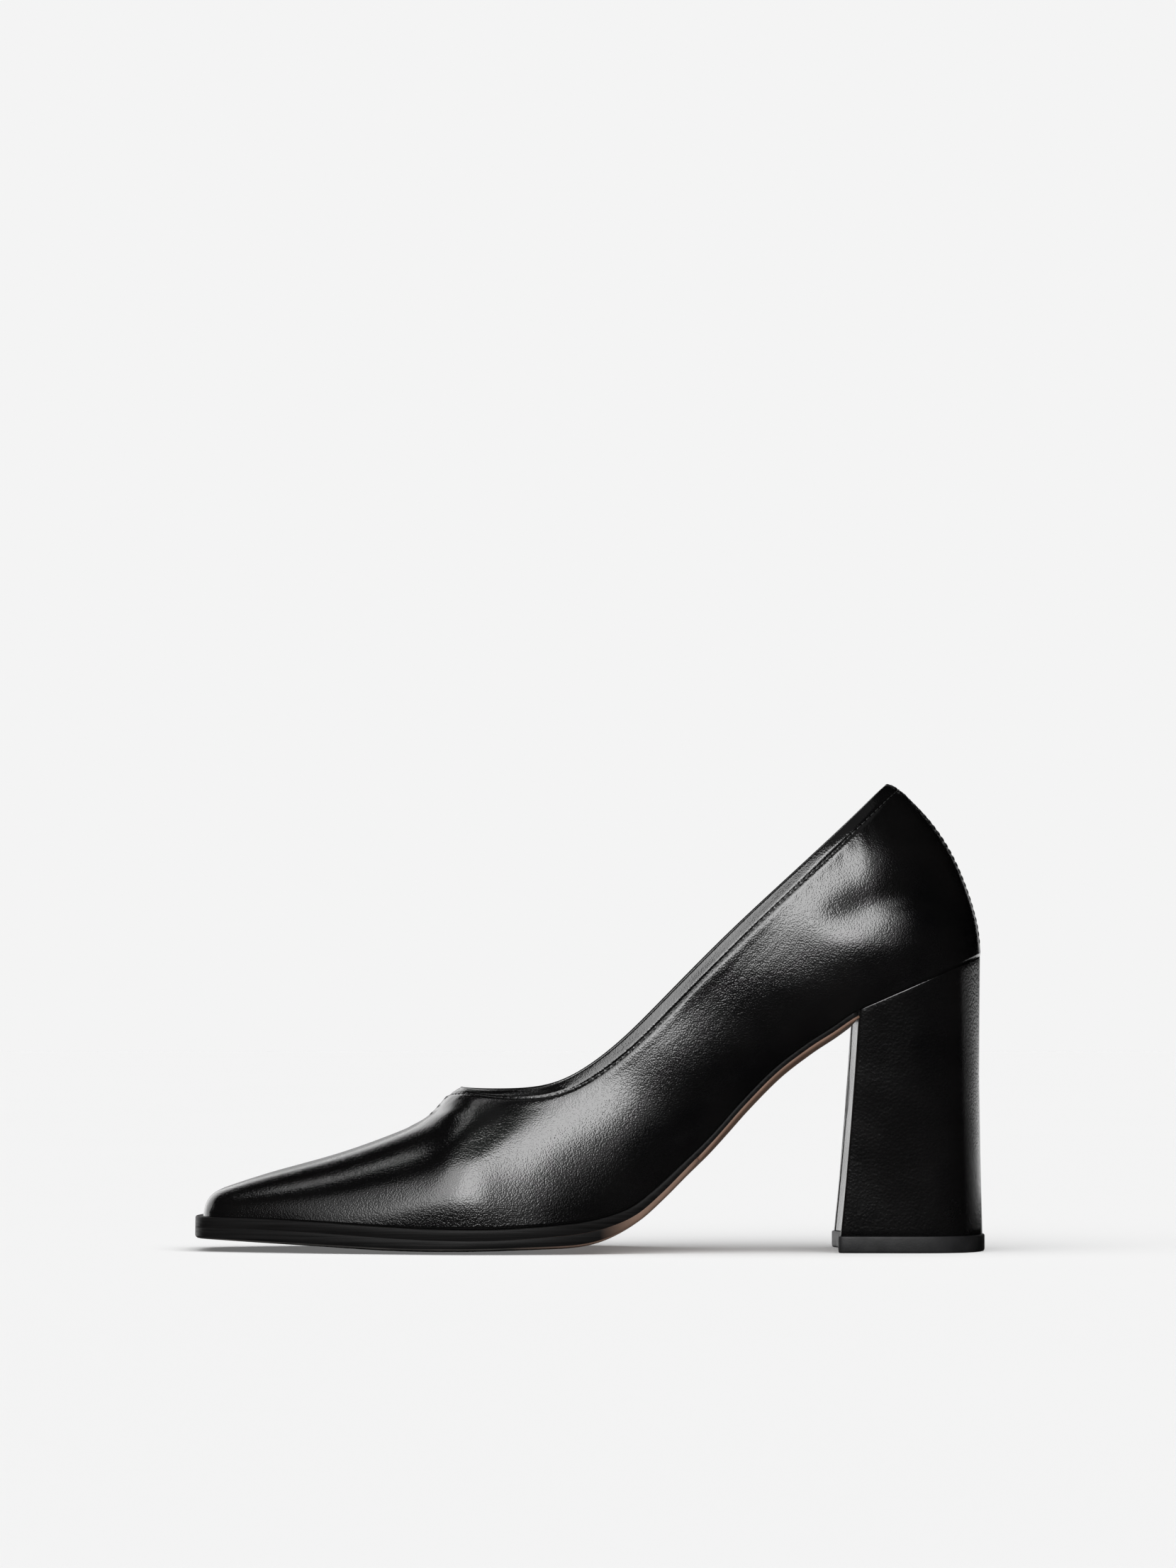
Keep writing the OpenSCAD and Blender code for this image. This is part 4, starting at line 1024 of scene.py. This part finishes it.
def sew(name, paths, pitch, length, *nodes):
    """Stitches along paths; each path is points in millimetres and whether it closes."""
    points, edges = [], []
    for path, closed in paths:
        first = len(points)
        points += [list(p) for p in np.asarray(path) * MM]
        edges += [(first + k, first + k + 1) for k in range(len(path) - 1)]
        if closed:
            edges.append((len(points) - 1, first))
    guide = bpy.data.meshes.new(name + "_path")
    guide.from_pydata(points, edges, [])
    piece = bpy.data.objects.new(name, guide)
    show(piece)
    modifier = piece.modifiers.new("stitches", "NODES")
    modifier.node_group = stitching
    for label, value in (("Pitch", pitch * MM), ("Length", length * MM), ("Thickness", thread_d * MM),
                         ("Thread", thread)):
        modifier[stitching_inputs[label]] = value
    evaluated = piece.evaluated_get(bpy.context.evaluated_depsgraph_get())
    plain = bpy.data.meshes.new_from_object(evaluated)
    piece.modifiers.clear()
    piece.data = plain
    dress(piece, thread, "thread", *nodes)


def under_topline(c):
    """Point of column c where the row of stitches crosses it."""
    for row in range(wall_rows - 1, 0, -1):
        near, far = edge_d[c, row], edge_d[c, row - 1]
        if near <= stitch_inset < far:
            share = (stitch_inset - near) / (far - near)
            at = face_skin[c, row] * (1 - share) + face_skin[c, row - 1] * share
            return at + thread_lift * normal[c, row]
    return None


topline_path = [p for p in map(under_topline, range(columns)) if p is not None]
sew("topline_stitches", [(topline_path, True)], stitch_pitch, 1.7, "topline_stitching")


def beside_column(middle, offset, rows):
    """Path up the skin at a distance to one side of a column."""
    path = []
    for row in rows:
        ring = face_skin[:, row]
        span = range(middle, middle + 40) if offset > 0 else range(middle, middle - 40, -1)
        walked, last = 0.0, ring[middle]
        for c in span:
            step = np.linalg.norm(ring[c % columns] - last)
            if walked + step >= abs(offset):
                share = (abs(offset) - walked) / max(step, 1e-9)
                path.append(last + (ring[c % columns] - last) * share
                            + thread_lift * normal[c % columns, row])
                break
            walked, last = walked + step, ring[c % columns]
    return path


back_column = back_station * per_station
back_rows = range(4, wall_rows - 5)
back_gap, front_gap_d, front_sink = 2.1, 1.9, 0.06
sew("back_seam_stitches", [(beside_column(back_column, gap, back_rows), False)
                           for gap in (back_gap, -back_gap)], 2.15, 1.6, "back_seam_stitching")

front_paths = []
for side in (1, -1):
    path = []
    for c in range(int(6.2 * per_station), ridge_columns - 3):
        c = c if side > 0 else columns - c
        row = wall_rows - 2
        while row > 0 and abs(face_skin[c, row, 1] - ridge_y) < front_gap_d:
            row -= 1
        if edge_d[c, row] < stitch_inset + 1.4:
            continue
        near, far = (abs(face_skin[c, k, 1] - ridge_y) for k in (row + 1, row))
        share = (front_gap_d - near) / max(far - near, 1e-9)
        path.append(face_skin[c, row + 1] * (1 - share) + face_skin[c, row] * share
                    - front_sink * normal[c, row])
    front_paths.append((path, False))
sew("front_seam_stitches", front_paths, stitch_pitch, 1.5, "front_seam_stitching")


# Studio: a pale seamless floor that meets a background of the same tone, broad soft boxes above and
# to the left of the shoe, and a dark card behind the camera that keeps the upright sides black.
backdrop_tone = 0.905
paper_tone = 0.86


def grouped(name, objects):
    """A collection that only says which things a light falls on."""
    group = bpy.data.collections.new(name)
    for thing in objects:
        group.objects.link(thing)
    return group


shoe_parts = grouped("shoe_parts", [o for o in bpy.context.scene.objects if o.type == "MESH"])
floor_side, floor_front, floor_near, floor_back = 6.0, -2.6, 0.6, 9.0


def stage_sheet(name, corners, finish):
    mesh = bpy.data.meshes.new(name)
    mesh.from_pydata(corners, [], [(0, 1, 2, 3)])
    sheet = bpy.data.objects.new(name, mesh)
    show(sheet)
    sheet.data.materials.append(finish.material)
    return sheet


# The floor is in two sheets, and the nearer one does not show in the polish.
paper = Finish("paper", Roughness=1.0, Specular_IOR_Level=0.0)
paper.tones(paper.noise(3.0, 2.0), (paper_tone - 0.003,) * 3, (paper_tone,) * 3)
floor, floor_ahead = (
    stage_sheet(name, [(-floor_side, front, 0), (floor_side, front, 0), (floor_side, back, 0),
                       (-floor_side, back, 0)], paper)
    for name, front, back in (("floor", floor_near, floor_back), ("floor_ahead", floor_front, floor_near)))
floor_ahead.visible_glossy = False
floor_only = grouped("floor_only", [floor, floor_ahead])

world = bpy.data.worlds.new("studio")
bpy.context.scene.world = world
world.use_nodes = True
world.node_tree.nodes["Background"].inputs["Color"].default_value = (1, 1, 1, 1)
world.node_tree.nodes["Background"].inputs["Strength"].default_value = backdrop_tone
world.cycles_visibility.diffuse = False
world.cycles_visibility.glossy = False


def floor_light(name, share, tilt_x, tilt_y, spread, shadow):
    """A broad light that falls on the floor only and gives that share of its tone."""
    data = bpy.data.lights.new(name, "SUN")
    tilt_x, tilt_y = math.radians(tilt_x), math.radians(tilt_y)
    level = math.cos(tilt_x) * math.cos(tilt_y)
    data.energy = share * backdrop_tone * math.pi / paper_tone / level
    data.angle = math.radians(spread)
    data.use_shadow = shadow
    light = bpy.data.objects.new(name, data)
    light.rotation_euler = (tilt_x, tilt_y, 0)
    show(light)
    light.light_linking.receiver_collection = floor_only


floor_light("floor_sky", 0.84, 22, 4, 95, True)
floor_light("floor_fill", 0.16, 0, 0, 30, False)


def soft_box(name, azimuth, elevation, distance, wide, high, radiance):
    """A rectangular soft box, placed by its direction from the shoe and its width and height in
    degrees; azimuth 0 lies towards the camera and 90 to the right."""
    data = bpy.data.lights.new(name, "AREA")
    data.shape = "RECTANGLE"
    data.size, data.size_y = (2 * distance * math.tan(math.radians(angle) / 2) for angle in (wide, high))
    data.energy = radiance * data.size * data.size_y * math.pi
    turn, climb_angle = math.radians(azimuth), math.radians(elevation)
    away = np.array([math.sin(turn) * math.cos(climb_angle), -math.cos(turn) * math.cos(climb_angle),
                     math.sin(climb_angle)])
    light = bpy.data.objects.new(name, data)
    light.location = tuple((shoe_low + shoe_high) / 2 + distance * away)
    light.rotation_euler = (math.pi / 2 - climb_angle, 0, turn)
    light.visible_camera = False
    show(light)
    light.light_linking.receiver_collection = shoe_parts


soft_box("key", -18, 33, 1.7, 56, 44, 0.7)
soft_box("key_core", -17, 34, 1.6, 35, 36, 4.2)
soft_box("key_hot", -8, 33, 1.55, 16, 36, 4.6)
soft_box("left_bar", -115, 60, 1.5, 14, 6, 1.8)
soft_box("ceiling", -70, 80, 2.0, 50, 30, 0.12)
soft_box("backdrop", 178, 12, 3.5, 32, 36, 0.55)
soft_box("backdrop_left", -140, 10, 3.5, 54, 44, 1.4)

felt = Finish("front_card", Roughness=0.95, Specular_IOR_Level=0.0)
felt.tones(felt.noise(20.0), (0.004, 0.004, 0.004), (0.006, 0.006, 0.006))
card_side, card_low, card_high = 3, 0.001, 2.6
front_card = stage_sheet("front_card", [
    (-card_side, floor_front, card_low), (card_side, floor_front, card_low),
    (card_side, floor_front, card_high), (-card_side, floor_front, card_high)], felt)
for seen_by in ("camera", "shadow", "diffuse"):
    setattr(front_card, "visible_" + seen_by, False)

bpy.context.scene.view_settings.view_transform = "Standard"
